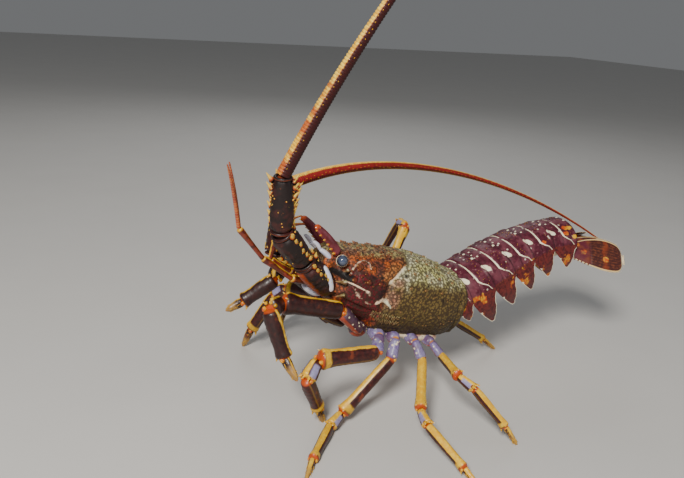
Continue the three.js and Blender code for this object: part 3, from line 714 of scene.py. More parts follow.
def tail_material(f, c):
    """Plum rings with cream furrows. paint holds the place along a ring and the orange spots, and mark
    the cream, the flaps and the spines."""
    place_on, _, ember = f.attribute("paint")
    pale, edge, tip = f.attribute("mark")
    fine = f.noise(320, 4, 0.65)
    broad = f.noise(70, 4)
    dots = 1 - f.cells(120).step(0.09, 0.15)
    rough_edge = (edge + (broad - 0.5) * 0.7).step(0.4, 0.62)
    glow = (ember + (fine - 0.5) * 0.9 + (broad - 0.5) * 1.2).step(0.4, 0.65)
    base = f.layers(
        f.blend(fine.step(0.3, 0.7), dark(c["plum"], 0.45), c["plum"]),
        (broad.step(0.48, 0.62) * 0.5, (0.20, 0.055, 0.075)),
        (fine.step(0.62, 0.7) * 0.45, (0.40, 0.27, 0.25)),
        (place_on.step(0.9, 0.97) * 0.5, dark(c["plum"], 0.3)),
        (dots * 0.85, (0.70, 0.62, 0.52)),
        (rough_edge, f.blend(fine.step(0.35, 0.6), (0.055, 0.006, 0.008), (0.14, 0.018, 0.015))),
        (rough_edge * broad.step(0.55, 0.61) * 0.9, f.blend(fine.step(0.4, 0.65), c["orange"], c["amber"])),
        (glow, f.blend(broad.step(0.42, 0.56), c["orange"], c["amber"])),
        ((pale + (fine - 0.5) * 0.3).step(0.4, 0.56),
         f.blend(fine.step(0.3, 0.7), c["cream"], (0.90, 0.84, 0.68))),
        (tip.step(0.01, 0.6), c["amber"]),
    )
    return f.close(base, 0.42 + fine * 0.2, [(fine, 0.25, 0.45), (f.noise(1000, 2), 0.1, 0.4)],
                   **{"Coat Weight": 0.15, "Coat Roughness": 0.25, "Specular IOR Level": 0.3})


def fan_material(f, c):
    """Brown ribs with a cream edge. paint holds the place along a blade and the ribs, and mark its edge
    and fringe."""
    place_on, _, rib = f.attribute("paint")
    _, edge, tip = f.attribute("mark")
    fine = f.noise(320, 4, 0.65)
    broad = f.noise(60, 3)
    wavy = broad - 0.5
    hard = 1 - place_on.step(*FAN_SEAM)
    bands = (place_on + wavy * 0.5).band(0.62, 0.7, 0.06)
    spots = (1 - f.cells(62).step(0.16, 0.24)) * place_on.step(0.06, 0.12)
    base = f.layers(
        f.blend((rib * 0.3 + (fine - 0.5) * 1.8).step(0.0, 0.6), (0.050, 0.010, 0.008), (0.16, 0.04, 0.014)),
        (hard * 0.85, f.blend(broad.step(0.4, 0.6), c["plum"], (0.20, 0.05, 0.018))),
        (bands * 0.3, c["orange"]),
        (spots * broad.step(0.4, 0.5), f.blend(fine.step(0.4, 0.7), c["orange"], (0.74, 0.44, 0.04))),
        (edge.step(0.4, 0.8) * 0.9, (0.78, 0.56, 0.26)),
        (place_on.step(0.95, 0.99), c["cream"]),
        (tip.step(0.01, 0.5), c["cream"]),
    )
    return f.close(base, 0.45 + fine * 0.2, [(fine, 0.15, 0.4)],
                   **{"Coat Weight": 0.12, "Specular IOR Level": 0.35})


def belly_material(f, c):
    """The soft, pale underside and the breastplate."""
    fine = f.noise(220, 4)
    broad = f.noise(60, 3)
    base = f.layers(f.blend(fine.step(0.3, 0.7), (0.62, 0.50, 0.36), c["cream"]),
                    (broad.step(0.5, 0.62) * 0.8, (0.36, 0.12, 0.09)),
                    ((1 - f.cells(260).step(0.14, 0.22)) * 0.6, c["burgundy"]))
    return f.close(base, 0.45, [(fine, 0.2, 0.4)], **{"Coat Weight": 0.15})


def swimmeret_material(f, c):
    """Leaf-shaped swimmerets: amber with dark blotches and cream rims."""
    place_on, _, _ = f.attribute("paint")
    _, _, tip = f.attribute("mark")
    fine = f.noise(300, 4)
    base = f.layers(f.blend(fine.step(0.4, 0.6), c["amber"], c["orange"]),
                    (f.noise(90, 2).step(0.52, 0.6) * 0.7, c["burgundy"]),
                    (place_on.step(0.85, 0.95), c["cream"]),
                    (tip.step(0.01, 0.5), c["cream"]))
    return f.close(base, 0.42, [(fine, 0.15, 0.4)])


def floor_material(f, _):
    """A pale grey floor with faint clouds."""
    base = f.blend(f.noise(9, 3), (0.56, 0.55, 0.53), (0.60, 0.59, 0.57))
    return f.close(base, 0.7, [(f.noise(120, 3), 0.3, 0.1)])


# The finishes by name
LOOKS = {
    "granular carapace": carapace_material, "toothed horn": horn_material, "eye dome": eye_material,
    "eye stalk": stalk_material, "lilac skin": skin_material, "antenna joint": peduncle_material,
    "ringed whip": whip_material, "slender lash": lash_material, "striped leg": leg_material,
    "plum tail shell": tail_material, "ribbed fan": fan_material, "pale underside": belly_material,
    "swimmeret leaf": swimmeret_material, "pale floor": floor_material,
}


def material(name):
    """A finish as a material, which is built at its first use."""
    return bpy.data.materials.get(name) or LOOKS[name](Finish(name), tints())


# Carapace

CARAPACE_ROWS, CARAPACE_COLUMNS = 280, 290
# Lines drawn on the shield, as (place, degrees up from the side) pairs; a degree is 0.6 mm there
MM_PER_DEGREE = 0.6
GROOVE_PATH = ((-20, 49), (0, 50), (20, 52), (29, 57), (42, 63.5), (59, 72), (75, 77), (90, 79))
CHEEK_LINE = ((8, 10), (14, 8), (18, 6.5), (25, 2.5), (32, 0), (36, -1))
CHEEK_FOLD = ((14, 4), (21, -1), (28, -4), (37, -6))
BROW_ARC = ((14, 24), (16, 35), (20, 45), (25, 50), (30, 46), (31, 36))
FRINGE_ARCH = ((41, -4), (46, -2), (52, -3), (56, -6))
# The eye hollow and the strip under the neck groove also carry painted shade
EYE_HOLLOW = ((2, 27), (8, 21), (14, 15))
GROOVE_SHADOW = ((43, 0), (47, 5), (49, 13))
# Dark spots, as (place, degrees up, reach in millimetres)
DARK_SPOTS = ((34, 23, 2.3), (42, 24, 2), (46, 88, 2), (45, 56, 1.7), (58, 78, 1.8), (28, 67, 1.7),
              (66, 33, 2.2), (90, 21, 1.4), (109, 2, 1.5))
GROOVE_WIDTH, GROOVE_DEPTH = 4.2, 2.8
# Width of the grains before the neck groove and behind it
FRONT_GRAIN, REAR_GRAIN = 3.8, 2.9


def groove_line(up):
    """Where the neck groove crosses the shield."""
    return along(GROOVE_PATH, up)


def path_gap(path, x, y, x_unit, y_unit):
    """Distance in millimetres from a place to a drawn line, both counted in units of so many millimetres."""
    points = [(px * x_unit, py * y_unit) for px, py in path]
    return min(line_gap(a, b, x * x_unit, y * y_unit) for a, b in zip(points, points[1:]))


def shell_outward(angle):
    """Away from the body at an angle round it."""
    return turn(0, math.cos(angle), math.sin(angle)).normalized()


def shield_relief(u, up, groove):
    """How far the shield's large forms stand out from its plain outline."""
    lift = -GROOVE_DEPTH * groove * (1 - 0.4 * smooth(up, 60, 80))
    # The channel before the rear rim, and the rim
    lift -= 1.2 * near(u, 132.5, 1.8) * smooth(up, -50, -30)
    lift += 0.8 * near(u, 137, 3)
    # The furrow beside the crest
    lift -= 1.0 * smooth(u, 78, 90) * near(up, 64, 3.5)
    # The hollow round the eye, and the brow over it
    lift -= 5.0 * near(u, 6, 8.5) * near(up, 36, 17)
    lift += 2.2 * near(u, 2, 9) * near(up, 66, 12)
    # The cheek draws in below its slanting edge
    slope = 0.1 * (u - 20)
    lift -= 4.5 * (1 - smooth(up, -14 - slope, -8 - slope)) * (1 - smooth(u, 40, 52))
    # The flank's lower edge
    lift += 1.2 * near(up, -52, 5) * smooth(u, 46, 60)
    return lift


def shield_lines(u, up):
    """Lift, paleness and painted shade of the lines drawn on the front of the shield."""
    def stroke(path, width):
        return near(path_gap(path, u, up, 1, MM_PER_DEGREE), 0, width)

    cheek_line = stroke(CHEEK_LINE, 0.5 + 0.6 * near(u, 20, 9)) * (1 - 0.8 * smooth(u, 30, 37))
    arc, fold, arch = stroke(BROW_ARC, 1.3), stroke(CHEEK_FOLD, 0.7), stroke(FRINGE_ARCH, 0.9)
    hollow, under_groove = stroke(EYE_HOLLOW, 6.0), stroke(GROOVE_SHADOW, 3.2)
    lift = 1.3 * cheek_line + 0.9 * arc + 0.6 * fold + 0.8 * arch - 2.5 * hollow
    pale = max(cheek_line, 0.62 * arc, 0.5 * fold, 0.8 * arch)
    # The third value is painted shade: dark paint in the eye hollow and under the neck groove
    return lift, pale, max(smooth(hollow, 0.3, 0.7), 0.8 * under_groove)


def carapace_point(u, angle, shrink, granule):
    """Shape and marks of the carapace at one place. Returns place, paint and marks."""
    s = math.sin(angle)
    up = math.degrees(math.asin(clamp(s, -1, 1)))
    line = groove_line(up)
    groove = near(u, line, GROOVE_WIDTH) * smooth(up, -24, -4)
    lift = shield_relief(u, up, groove)
    pale = 0.78 * near(u, line, 2.2) * smooth(up, 10, 22) * (1 - smooth(up, 46, 66))
    # The shell's own dark spots, joined below by painted shade from the lines on the front
    spots_and_shade = max(near(math.hypot(u - at, (up - high) * MM_PER_DEGREE), 0, wide)
                 for at, high, wide in DARK_SPOTS)
    if u < 64 and -30 < up < 70:
        raised, line_pale, line_shadow = shield_lines(u, up)
        lift += raised
        pale, spots_and_shade = max(pale, line_pale), max(spots_and_shade, line_shadow)
    spot = shell_point(u, angle, lift)
    if s > -0.95:
        cell, _ = noise.voronoi(spot / mix(FRONT_GRAIN, REAR_GRAIN, smooth(u, 45, 70)))
        grain = clamp(1.15 - cell[0] * 1.6) * smooth(up, -62, -45)
        height = granule * grain * (1 - 0.7 * groove) + 0.35 * noise.noise(spot / 9.0)
        spot = spot + shell_outward(angle) * height
    if shrink != 1.0:
        spot = place(u, 0, 0).lerp(spot, shrink)
    top = 40 - 0.6 * (u - 14)
    cheek = smooth(u, 10, 15) * (1 - smooth(u, 42, 50)) * (1 - smooth(up, top - 5, top + 3))
    return spot, ((u - line) / 60, s, spots_and_shade), (pale, cheek * smooth(up, -60, -40), 0.0)


def carapace_stations(rows):
    """(place, share of full size) for every row, with a closed front and a rolled rear rim."""
    ends_front = [(-1.5, 0.0), (-3.5, 0.45), (-5.4, 0.8), (-6.2, 0.94)]
    ends_back = [(140.8, 0.99), (140.9, 0.965), (139, 0.945), (134, 0.93), (128, 0.75), (126, 0.0)]
    middle = rows + 1 - len(ends_front) - len(ends_back)
    body = [(mix(FRONT_EDGE, REAR_RIM, i / (middle - 1)), 1.0) for i in range(middle)]
    return ends_front + body + ends_back


# Rows of spines: degrees up from the side, then (place, length) pairs
SPINE_ROWS = (
    (90, ((22, 3.2), (36, 3.4), (50, 3.2), (88, 2.8), (104, 2.6), (120, 2.4))),
    (64, ((24, 4), (37, 3.8), (52, 3.4), (84, 3.2), (96, 3), (108, 2.8), (124, 2.6))),
    (38, ((21, 5.5), (34, 4.6), (48, 4), (76, 3.4), (90, 3.2), (104, 3), (120, 2.6))),
    (14, ((18, 4.5), (30, 4), (41, 3.6), (72, 3.2), (88, 3), (106, 2.6))),
)
SMALL_SPINES = 430
# Spines on the front edge of each cheek, as (root, tip, radius)
CHEEK_SPINES = (((9, 30, 4), (-1, 30, 4.5), 1.8), ((11, 30.5, -7), (3, 30, -9), 1.5),
                ((10, 27, 14), (4, 30, 13), 1.2))
HAIRS_IN_ROW = 35


def shell_spike(piece, u, angle, length, radius):
    """A spine that leans forward on the shield, in the shield's colour."""
    at, paint, marks = carapace_point(u, angle, 1.0, 0.0)
    out = shell_outward(angle)
    spike(piece, at - out * 0.3, turn(-1, 0, 0) + out * 0.75, length, radius,
          bend=turn(-0.12, 0, 0) + out * 0.16, tone=marks[1], paint=(paint[0], paint[1], 0.0))


def carapace_spines(piece, scale):
    """The big spines in their rows, and small ones scattered between them."""
    for around, row in SPINE_ROWS:
        for angle in ((90,) if around == 90 else (around, 180 - around)):
            for u, length in row:
                shell_spike(piece, u, math.radians(angle), length * scale, 0.6 + 0.36 * length)
    draw = random.Random(7)
    for _ in range(SMALL_SPINES):
        u = draw.uniform(2, 134)
        up = draw.uniform(-30, 88)
        length = draw.uniform(0.9, 2.3) * mix(1.25, 0.7, smooth(u, 20, 110)) * scale
        angle = math.radians(up if draw.random() < 0.5 else 180 - up)
        in_groove, on_cheek = near(u, groove_line(up), 4) > 0.3, u < 44 and up < 8
        if in_groove or on_cheek or math.hypot(u - 6, (up - 36) / 2) < 9:
            continue
        shell_spike(piece, u, angle, length, 0.4 + 0.3 * length)


def front_spines(piece, scale):
    """Strong flat spines on the front edge of each cheek, and a comb of stiff hairs behind it."""
    for _, side in SIDES:
        for root, tip, radius in CHEEK_SPINES:
            a, b = beside(side, *root), beside(side, *tip)
            spike(piece, a, b - a, (b - a).length * scale, radius, columns=12, rows=10)
    draw = random.Random(11)
    for _, side in SIDES:
        for i in range(2 * HAIRS_IN_ROW):
            row, hair = divmod(i, HAIRS_IN_ROW)
            u = 42 + 26 * hair / (HAIRS_IN_ROW - 1) + draw.uniform(-0.4, 0.4)
            up = -14 - 8 * row + draw.uniform(-1.5, 1.5)
            angle = math.radians(up if side == LEFT else 180 - up)
            at = carapace_point(u, angle, 1.0, 0.0)[0]
            spike(piece, at, turn(-0.5, 0, -0.9) + shell_outward(angle) * 0.45, draw.uniform(2.6, 4.4),
                  0.33, rows=4, columns=5)


def build_carapace(sizes):
    """The shield over head and chest."""
    piece = Piece()
    carapace_spines(piece, sizes.spine_scale)
    front_spines(piece, sizes.spine_scale)
    # The spine in the middle of the brow
    spike(piece, place(-4, 0, 21), turn(-0.9, 0, 0.35), 7, 3, rows=8, columns=12)
    stations = carapace_stations(CARAPACE_ROWS)
    granule = sizes.granule / MM

    def point(t, s):
        u, shrink = stations[round(t * CARAPACE_ROWS)]
        return carapace_point(u, 2 * math.pi * (s - 0.25), shrink, granule)

    piece.wrap(CARAPACE_ROWS, CARAPACE_COLUMNS, point)
    piece.finish("carapace_shield", "granular carapace", ["carapace"], "carapace_shell")


# Horns over the eyes
HORN_ROOT, HORN_TIP = (5, 14, 24), (-24, 14, 45.5)
HORN_SHAPE = ((0, 1.1), (0.35, 1.04), (0.7, 0.9), (0.9, 0.72), (1, 0.55))


def horn(piece, side, width):
    """A blunt curved blade with a toothed lower edge."""
    root, tip = beside(side, *HORN_ROOT), beside(side, *HORN_TIP)
    direction = (tip - root).normalized()
    blade_side = direction.cross(turn(0, -side * 0.75, 0.66)).normalized()
    outward = blade_side.cross(direction).normalized()
    down = blade_side if blade_side.z < 0 else -blade_side

    def middle(t):
        return root.lerp(tip, t) + outward * (1.6 * math.sin(math.pi * t) - 0.6)

    def point(t, s):
        angle = 2 * math.pi * s
        wide = width / 2 * along(HORN_SHAPE, t) * rounded(t, 36, 4)
        thick = wide * 0.62 * (1 + 0.2 * math.cos(angle))
        spot = middle(t) + blade_side * (wide * math.cos(angle)) + outward * (thick * math.sin(angle))
        return spot, (t, -math.cos(angle), 0.0), PLAIN

    piece.wrap(40, 28, point)
    for i in range(6):
        t = 0.14 + 0.15 * i
        at = middle(t) + down * (width / 2 * along(HORN_SHAPE, t) * 0.8)
        spike(piece, at, down + direction * 0.8 + outward * 0.25, 4.4 - 0.3 * i, 1.5 - 0.1 * i)
    for i in range(6):
        at = middle(0.16 + 0.14 * i) + outward * 1.2 - down * (1.2 - 0.2 * i)
        spike(piece, at, direction + outward * 0.6, 1.7, 0.8, rows=5, columns=6)


def build_horns(sizes):
    """Horns, one over each eye, as a piece on the carapace."""
    piece = Piece()
    for _, side in SIDES:
        horn(piece, side, sizes.horn_width / MM)
    piece.finish("brow_horns", "toothed horn", (), "carapace_shell")


# Bars on each side of the head's front, as (root, tip, radius)
HEAD_BARS = (((-19.8, 9, 30.4), (-11.2, 10, 23.6), 2.2), ((-12.6, 9.8, 24.8), (2.7, 12, 15.5), 2.8),
             ((-15.4, 28.5, 15.6), (0, 26.3, -6.2), 4.0))
BAR_SHAPE = ((0, 0.7), (0.4, 1), (0.8, 0.9), (1, 0.6))
PLATE_SHAPE = ((0, 0.9), (0.5, 1), (1, 0.7))


def build_head_front():
    """The pale plates between the antennae, the jointed bars under the horns, and the root crescents."""
    piece = Piece()
    for _, side in SIDES:
        for root, tip, radius in HEAD_BARS:
            limb(piece, beside(side, *root), beside(side, *tip), radius, BAR_SHAPE, flat=0.85, bow=1.0)
    limb(piece, place(4, 0, 2), place(-15, 0, 14), 9, PLATE_SHAPE, flat=0.5, columns=24)
    limb(piece, place(6, 0, -14), place(-13, 0, -13), 13, PLATE_SHAPE, flat=0.42, columns=24)
    piece.finish("head_front_plate", "lilac skin", (), "pale_shell")


# Eyes
EYE_PLACE, STALK_ROOT = (4, 24, 21), (9, 11, 15)
STALK_SHAPE = ((0, 0.8), (0.6, 0.8), (1, 1))


def build_eyes(sizes):
    """Domed eyes with a pale ring, each on a short stalk."""
    radius = sizes.eye_radius / MM
    for letter, side in SIDES:
        centre = beside(side, *EYE_PLACE)
        axis = turn(-0.42, -side * 0.86, 0.28).normalized()
        axes = (axis, *across(axis))
        eye = Piece()
        ball(eye, centre, (radius * 1.02, radius, radius), axes)
        eye.finish(f"eye_dome_{letter}", "eye dome", [f"eye_{letter}"], "eye")
        stalk = Piece()
        collar(stalk, centre - axis * 1.0, axis, radius * 0.94, 0.55)
        limb(stalk, beside(side, *STALK_ROOT), centre - axis * 1.6, 4.9, STALK_SHAPE, columns=20)
        stalk.finish(f"eye_holder_{letter}", "eye stalk", [f"eye_stalk_{letter}"], "pale_shell")


# Antennae: name, side, three joints as (length, yaw, lift), and the whip as (length, its yaw at the root
# and the tip, its lift at both)
ANTENNAE = (
    ("l", LEFT, ((37, 18, 45), (41, 22, 49), (48, 66, 78)), (405, (150, 150), (65, 48))),
    ("r", RIGHT, ((34, 12, 28), (34, 150, 74), (36, 120, 40)), (420, (157, 210), (8.5, -32))),
)
ANTENNA_ROOT, ANTENNULE_ROOT = (-2, 17, -4), (-6, 5.2, -8)
JOINT_RADII = (11.5, 10.8, 9)
JOINT_SHAPES = (
    ((0, 0.82), (0.3, 1), (0.8, 1.02), (1, 0.86)),
    ((0, 0.84), (0.35, 1), (0.8, 1.03), (1, 0.82)),
    ((0, 0.8), (0.3, 1.02), (0.7, 0.88), (1, 0.7)),
)
# The whips are cut in three pieces at these shares of their length, and each laps the one before it
WHIP_CUTS = (0, 0.3, 0.64, 1)
WHIP_LAP = 0.004
WHIP_RINGS = 168
ROWS_IN_RING, WHIP_COLUMNS = 5, 14


def joint_spines(piece, a, b, radius, scale, seed):
    """Rows of strong spines along both edges of a joint, and small ones between them."""
    draw = random.Random(seed)
    plant = planter(piece, a, b, radius * 0.9, 0.95, scale, 0.18)
    for degrees in (8, 172):
        for i in range(6):
            plant(0.16 + 0.15 * i, degrees + draw.uniform(-7, 7), 4.2 + 0.5 * i, 1.9)
        for _ in range(14):
            plant(draw.uniform(0.08, 0.96), degrees + draw.uniform(-16, 16), draw.uniform(1.6, 3.2), 1.1)
    for degrees in (60, 90, 122):
        plant(0.93, degrees, 5, 1.8)
    for _ in range(34):
        plant(draw.uniform(0.08, 0.9), draw.uniform(-20, 200), draw.uniform(1.2, 2.4), 0.8)
    for _ in range(int((b - a).length / 3)):
        plant(draw.uniform(0.1, 0.9), draw.uniform(200, 340), draw.uniform(0.7, 1.4), 0.55)


def whip_route(start, route, side, steps=60):
    """Points of a whip's middle line at even shares of its length."""
    length, yaw, lift = route
    point = start.copy()
    points = [point.copy()]
    for i in range(steps):
        t = (i + 0.5) / steps
        point = point + heading(mix(*yaw, t), mix(*lift, t), side) * (length / steps)
        points.append(point.copy())
    return points


def on_route(points, t):
    """The place at a share of a whip's length."""
    reach = clamp(t) * (len(points) - 1)
    i = min(int(reach), len(points) - 2)
    return points[i].lerp(points[i + 1], reach - i)


def whip_frame(points, t):
    """Place, heading, side and top at a share of a whip's length."""
    way = (on_route(points, t + 0.01) - on_route(points, t - 0.01)).normalized()
    return (on_route(points, t), way, *across(way))


def whip_radius(radii, t):
    """A whip's radius at a share of its length."""
    root, tip = radii
    return tip + (root - tip) * (1 - t) ** 1.25


def whip_stretch(piece, points, length, low, high, radii, lit):
    """A ringed length of whip with tiny thorns along both sides. lit is how much of it is painted as lit,
    amber and orange on its lit side.
    """
    rings = round(WHIP_RINGS * (high - low))

    def point(t, s):
        share_on = mix(low, high, t)
        middle, _, side, top = whip_frame(points, share_on)
        phase = t * rings % 1.0
        swell = 0.93 + 0.13 * math.sin(math.pi * phase) ** 0.6
        wide = 0.0 if t in (0.0, 1.0) else swell * whip_radius(radii, share_on)
        angle = 2 * math.pi * s
        spot = middle + side * (wide * math.cos(angle)) + top * (wide * math.sin(angle))
        return spot, (math.sin(math.pi * phase), math.sin(angle), share_on * length / 100), (0.0, lit, 0.0)

    piece.wrap(rings * ROWS_IN_RING, WHIP_COLUMNS, point)
    draw = random.Random(round(1000 * low))
    for i in range(0, rings, 2):
        share_on = mix(low, high, (i + 0.7) / rings)
        if share_on > 0.8:
            break
        middle, way, side, top = whip_frame(points, share_on)
        wide = whip_radius(radii, share_on)
        for turned in (0, math.pi):
            out = outward_at(side, top, turned + draw.uniform(-0.4, 0.4))
            spike(piece, middle + out * (wide * 0.95), way + out * 0.8, 0.5 + 0.22 * wide, 0.35,
                  rows=4, columns=5)


def build_antennae(sizes):
    """Stout spiny joints, their collars, and the long ringed whips."""
    skin = Piece()
    for letter, side, joints, route in ANTENNAE:
        start = beside(side, *ANTENNA_ROOT)
        for k, (length, yaw, lift) in enumerate(joints):
            way = heading(yaw, lift, side)
            end = start + way * length
            radius, shape = JOINT_RADII[k], JOINT_SHAPES[k]
            root = start - way * (8 if k == 0 else 1.5)
            piece = Piece()
            joint_spines(piece, start, end, radius, sizes.spine_scale, 20 + k)
            limb(piece, root, end, radius, shape, flat=0.92, rows=60, columns=48,
                 square=0.9, rough=0.05, seed=k, kind=0.85 if k == 0 else 0.0)
            collar(piece, end - way * 1.6, way, radius * shape[-1][1] * 0.95, 1.3, flat=0.92)
            piece.finish(f"antenna_stem_{letter}_{k + 1}", "antenna joint",
                         [f"antenna_{letter}_joint_{k + 1}"], "antenna_shell")
            collar(skin, start + way * (0.6 if k else 2), way, radius * 0.82, 1.4, flat=0.92)
            start = end
        points = whip_route(start, route, side)
        radii = sizes.whip_root / MM, sizes.whip_tip / MM
        # The left whip is painted as lit, with painted light on one side and deeper painted shade on the
        # other
        lit = 1.0 if side == LEFT else 0.0
        for k, (low, high) in enumerate(zip(WHIP_CUTS, WHIP_CUTS[1:])):
            piece = Piece()
            whip_stretch(piece, points, route[0], low - (WHIP_LAP if k else 0), high, radii, lit)
            piece.finish(f"antenna_lash_{letter}_{k + 1}", "ringed whip",
                         [f"antenna_{letter}_whip_{k + 1}"], "antenna_shell")
    skin.finish("antenna_collars", "antenna joint", (), "antenna_shell")


# Antennules: name, side, the stem's joints and two lashes, all as (length, yaw, lift)
ANTENNULES = (
    ("l", LEFT, ((28, 16, 23), (32, -5, 38), (37, 14, 51)), ((66, 55, 60), (62, 52, 67))),
    ("r", RIGHT, ((21, 3, 29), (23, -6, 33), (27, 178, 77)), ((38, 160, -4), (34, 150, 8))),
)
STEM_SHAPE = ((0, 0.85), (0.15, 0.8), (0.6, 0.9), (0.92, 1.12), (1, 1))
LASH_SHAPE = ((0, 0.95), (0.5, 0.75), (1, 0.3))


def build_antennules():
    """Slender jointed stems, each with two ringed lashes."""
    for letter, side, joints, lashes in ANTENNULES:
        piece = Piece()
        start = beside(side, *ANTENNULE_ROOT)
        for k, (length, yaw, lift) in enumerate(joints):
            way = heading(yaw, lift, side)
            end = start + way * length
            limb(piece, start - way * 1.5, end, 3.3 - 0.4 * k, STEM_SHAPE, rows=30)
            start = end
        for length, yaw, lift in lashes:
            end = start + heading(yaw, lift, side) * length
            limb(piece, start, end, 1.9, LASH_SHAPE, rows=80, columns=10, bow=2, kind=1.0)
        piece.finish(f"antennule_stem_{letter}", "slender lash", [f"antennule_{letter}"], "antenna_shell")


# Mouth legs and breastplate

def build_mouth():
    """Mouth-legs folded under the head, with hairy inner edges."""
    draw = random.Random(5)
    for letter, side in SIDES:
        root, elbow = beside(side, 34, 7.5, SOLE - 1), beside(side, 6, 8.5, SOLE + 7)
        tip = beside(side, 18, 6.5, SOLE - 2)
        piece = Piece()
        limb(piece, root, elbow, 5.2, ((0, 0.8), (0.4, 1), (1, 0.8)), rows=36, columns=24)
        limb(piece, elbow, tip, 3.6, ((0, 0.8), (0.3, 1), (1, 0.5)), rows=30, columns=20)
        for _ in range(60):
            at = elbow.lerp(tip, draw.uniform(0.1, 0.98)) + turn(0, side * 2.4, draw.uniform(-2, 1))
            spike(piece, at, turn(0.4, side * 0.9, -0.5), draw.uniform(2, 3.4), 0.25, rows=3, columns=5)
        piece.finish(f"mouth_limb_{letter}", "striped leg", [f"mouth_leg_{letter}"], "leg_shell")


# The breastplate's half width and half thickness, as (place, millimetres) pairs, and the step between
# its cross ridges
BREAST_WIDTH = ((34, 13), (60, 21), (90, 29), (118, 32), (128, 24))
BREAST_THICKNESS = ((34, 5), (60, 6), (90, 7), (118, 7), (128, 5))
RIDGE_STEP = 17.5


def build_breastplate():
    """The plate between the leg roots."""
    front, rear = BREAST_WIDTH[0][0], BREAST_WIDTH[-1][0]
    piece = Piece()

    def point(t, s):
        u = mix(front, rear, eased(t))
        angle = 2 * math.pi * s
        ends = rounded(eased(t), rear - front, 6)
        ridge = 0.8 * math.cos(2 * math.pi * (u - 42) / RIDGE_STEP)
        v = along(BREAST_WIDTH, u) * ends * math.cos(angle)
        w = (along(BREAST_THICKNESS, u) + ridge) * ends * power(math.sin(angle), 0.8)
        w += 1.6 * near(v, 0, 3) if math.sin(angle) < 0 else 0.0
        return place(u, v, SOLE + w), (t, math.sin(angle), 0.0), PLAIN

    piece.wrap(70, 60, point)
    piece.finish("breast_plate", "pale underside", ["sternum"], "pale_shell")


# Walking legs. Each stretch is (length, yaw, lift), and the last two of a standing leg have no lift of
# their own, because they come down to the floor.
LEGS = (
    # name, side, root, thickness of the root stretches, thickness of the others, stretches
    ("l1", LEFT, (42, 15), 1.3, 1.5,
     ((13, 75, 17), (28, 0, 47), (54, -11, 11), (19, 40, 0), (42, 130, -68), (21, 110, -42))),
    ("l2", LEFT, (58, 19), 1.1, 1.35,
     ((15, 83, 5), (18, 54, -27), (56, 0, 3), (19, 27, -44), (44, 215), (19, 200))),
    ("l3", LEFT, (74, 23), 1.0, 1.0,
     ((14, 82, 2), (18, 41, -60), (64, 5, -41), (18, 30, -14), (46, 47), (23, 52))),
    ("l4", LEFT, (93, 27), 0.92, 0.9,
     ((11, 90, 0), (17, 105, -52), (54, 58, -25), (18, 80, -13), (46, 100), (22, 105))),
    ("l5", LEFT, (111, 29), 0.84, 0.82,
     ((10, 96, -1), (14, 120, -43), (42, 76, 3), (17, 115, -20), (43, 140), (20, 145))),
    ("r1", RIGHT, (42, 15), 1.3, 1.5,
     ((13, 75, 17), (20, 28, 42), (46, 34, 38), (20, -48, -53), (37, 15, -36), (17, 0, -24))),
    ("r2", RIGHT, (58, 19), 1.1, 1.35,
     ((15, 83, 5), (17, 59, 13), (52, 59, -3), (18, 54, -41), (48, 30), (23, 44))),
    ("r3", RIGHT, (74, 23), 1.0, 1.0,
     ((14, 82, 2), (17, 69, 8), (59, 75, 10), (19, 78, -40), (54, 83), (24, 81))),
    ("r4", RIGHT, (93, 27), 0.92, 0.9,
     ((14, 95, 19), (20, 145, 49), (66, 160, 62), (18, 100, -10), (46, 85, -58), (22, 85, -72))),
    ("r5", RIGHT, (111, 29), 0.84, 0.82,
     ((10, 96, -1), (15, 160, -8), (50, 190, -16), (18, 195, -16), (46, 188), (22, 185))),
)
STRETCHES = (
    # part, radius, overlap before the start, profile, and the kind by which the material knows it
    ("coxa", 6.2, 2.6, ((0, 0.9), (0.5, 1), (1, 0.95)), 1.0),
    ("ischium", 5.2, 2.0, ((0, 0.85), (0.5, 0.95), (0.85, 1.06), (1, 1.0)), 0.8),
    ("merus", 5.0, 2.4, ((0, 0.78), (0.15, 0.94), (0.75, 1), (0.93, 1.2), (1, 1.1)), 0.0),
    ("carpus", 4.8, 0.6, ((0, 0.8), (0.4, 0.95), (0.85, 1.12), (1, 1.0)), 0.2),
    ("propodus", 4.4, 1.6, ((0, 0.85), (0.12, 0.95), (0.3, 1), (0.8, 0.9), (0.94, 1.04), (1, 0.9)), 0.4),
    ("dactyl", 3.0, 1.4, ((0, 0.95), (0.1, 0.9), (0.35, 0.85), (0.75, 0.6), (1, 0.3)), 0.6),
)
# Feet end a little below the floor and are pressed flat on it
FOOT_END = -1
STEEPEST = -89.0
# Degrees by which the last stretch comes down more steeply than the one before
LAST_BEND = 8


def come_down(height, upper, lower):
    """How steeply two stretches come down from a height to reach the floor."""
    low, high = STEEPEST, 20.0
    for _ in range(40):
        lift = (low + high) / 2
        last = max(lift - LAST_BEND, STEEPEST)
        end = height + upper * math.sin(math.radians(lift)) + lower * math.sin(math.radians(last))
        if end > FOOT_END:
            high = lift
        else:
            low = lift
    return (low + high) / 2


def leg_joints(side, root, stretches):
    """The places of a leg's joints, from its root to its claw's tip."""
    joints = [beside(side, *root, SOLE - 1)]
    for k, stretch in enumerate(stretches):
        start = joints[-1]
        length, yaw = stretch[:2]
        if len(stretch) == 3:
            lift = stretch[2]
        elif k == 4:
            lift = come_down(start.z, length, stretches[5][0])
        else:
            lift = -math.degrees(math.asin(min(1, (start.z - FOOT_END) / length)))
        joints.append(start + heading(yaw, lift, side) * length)
    return joints


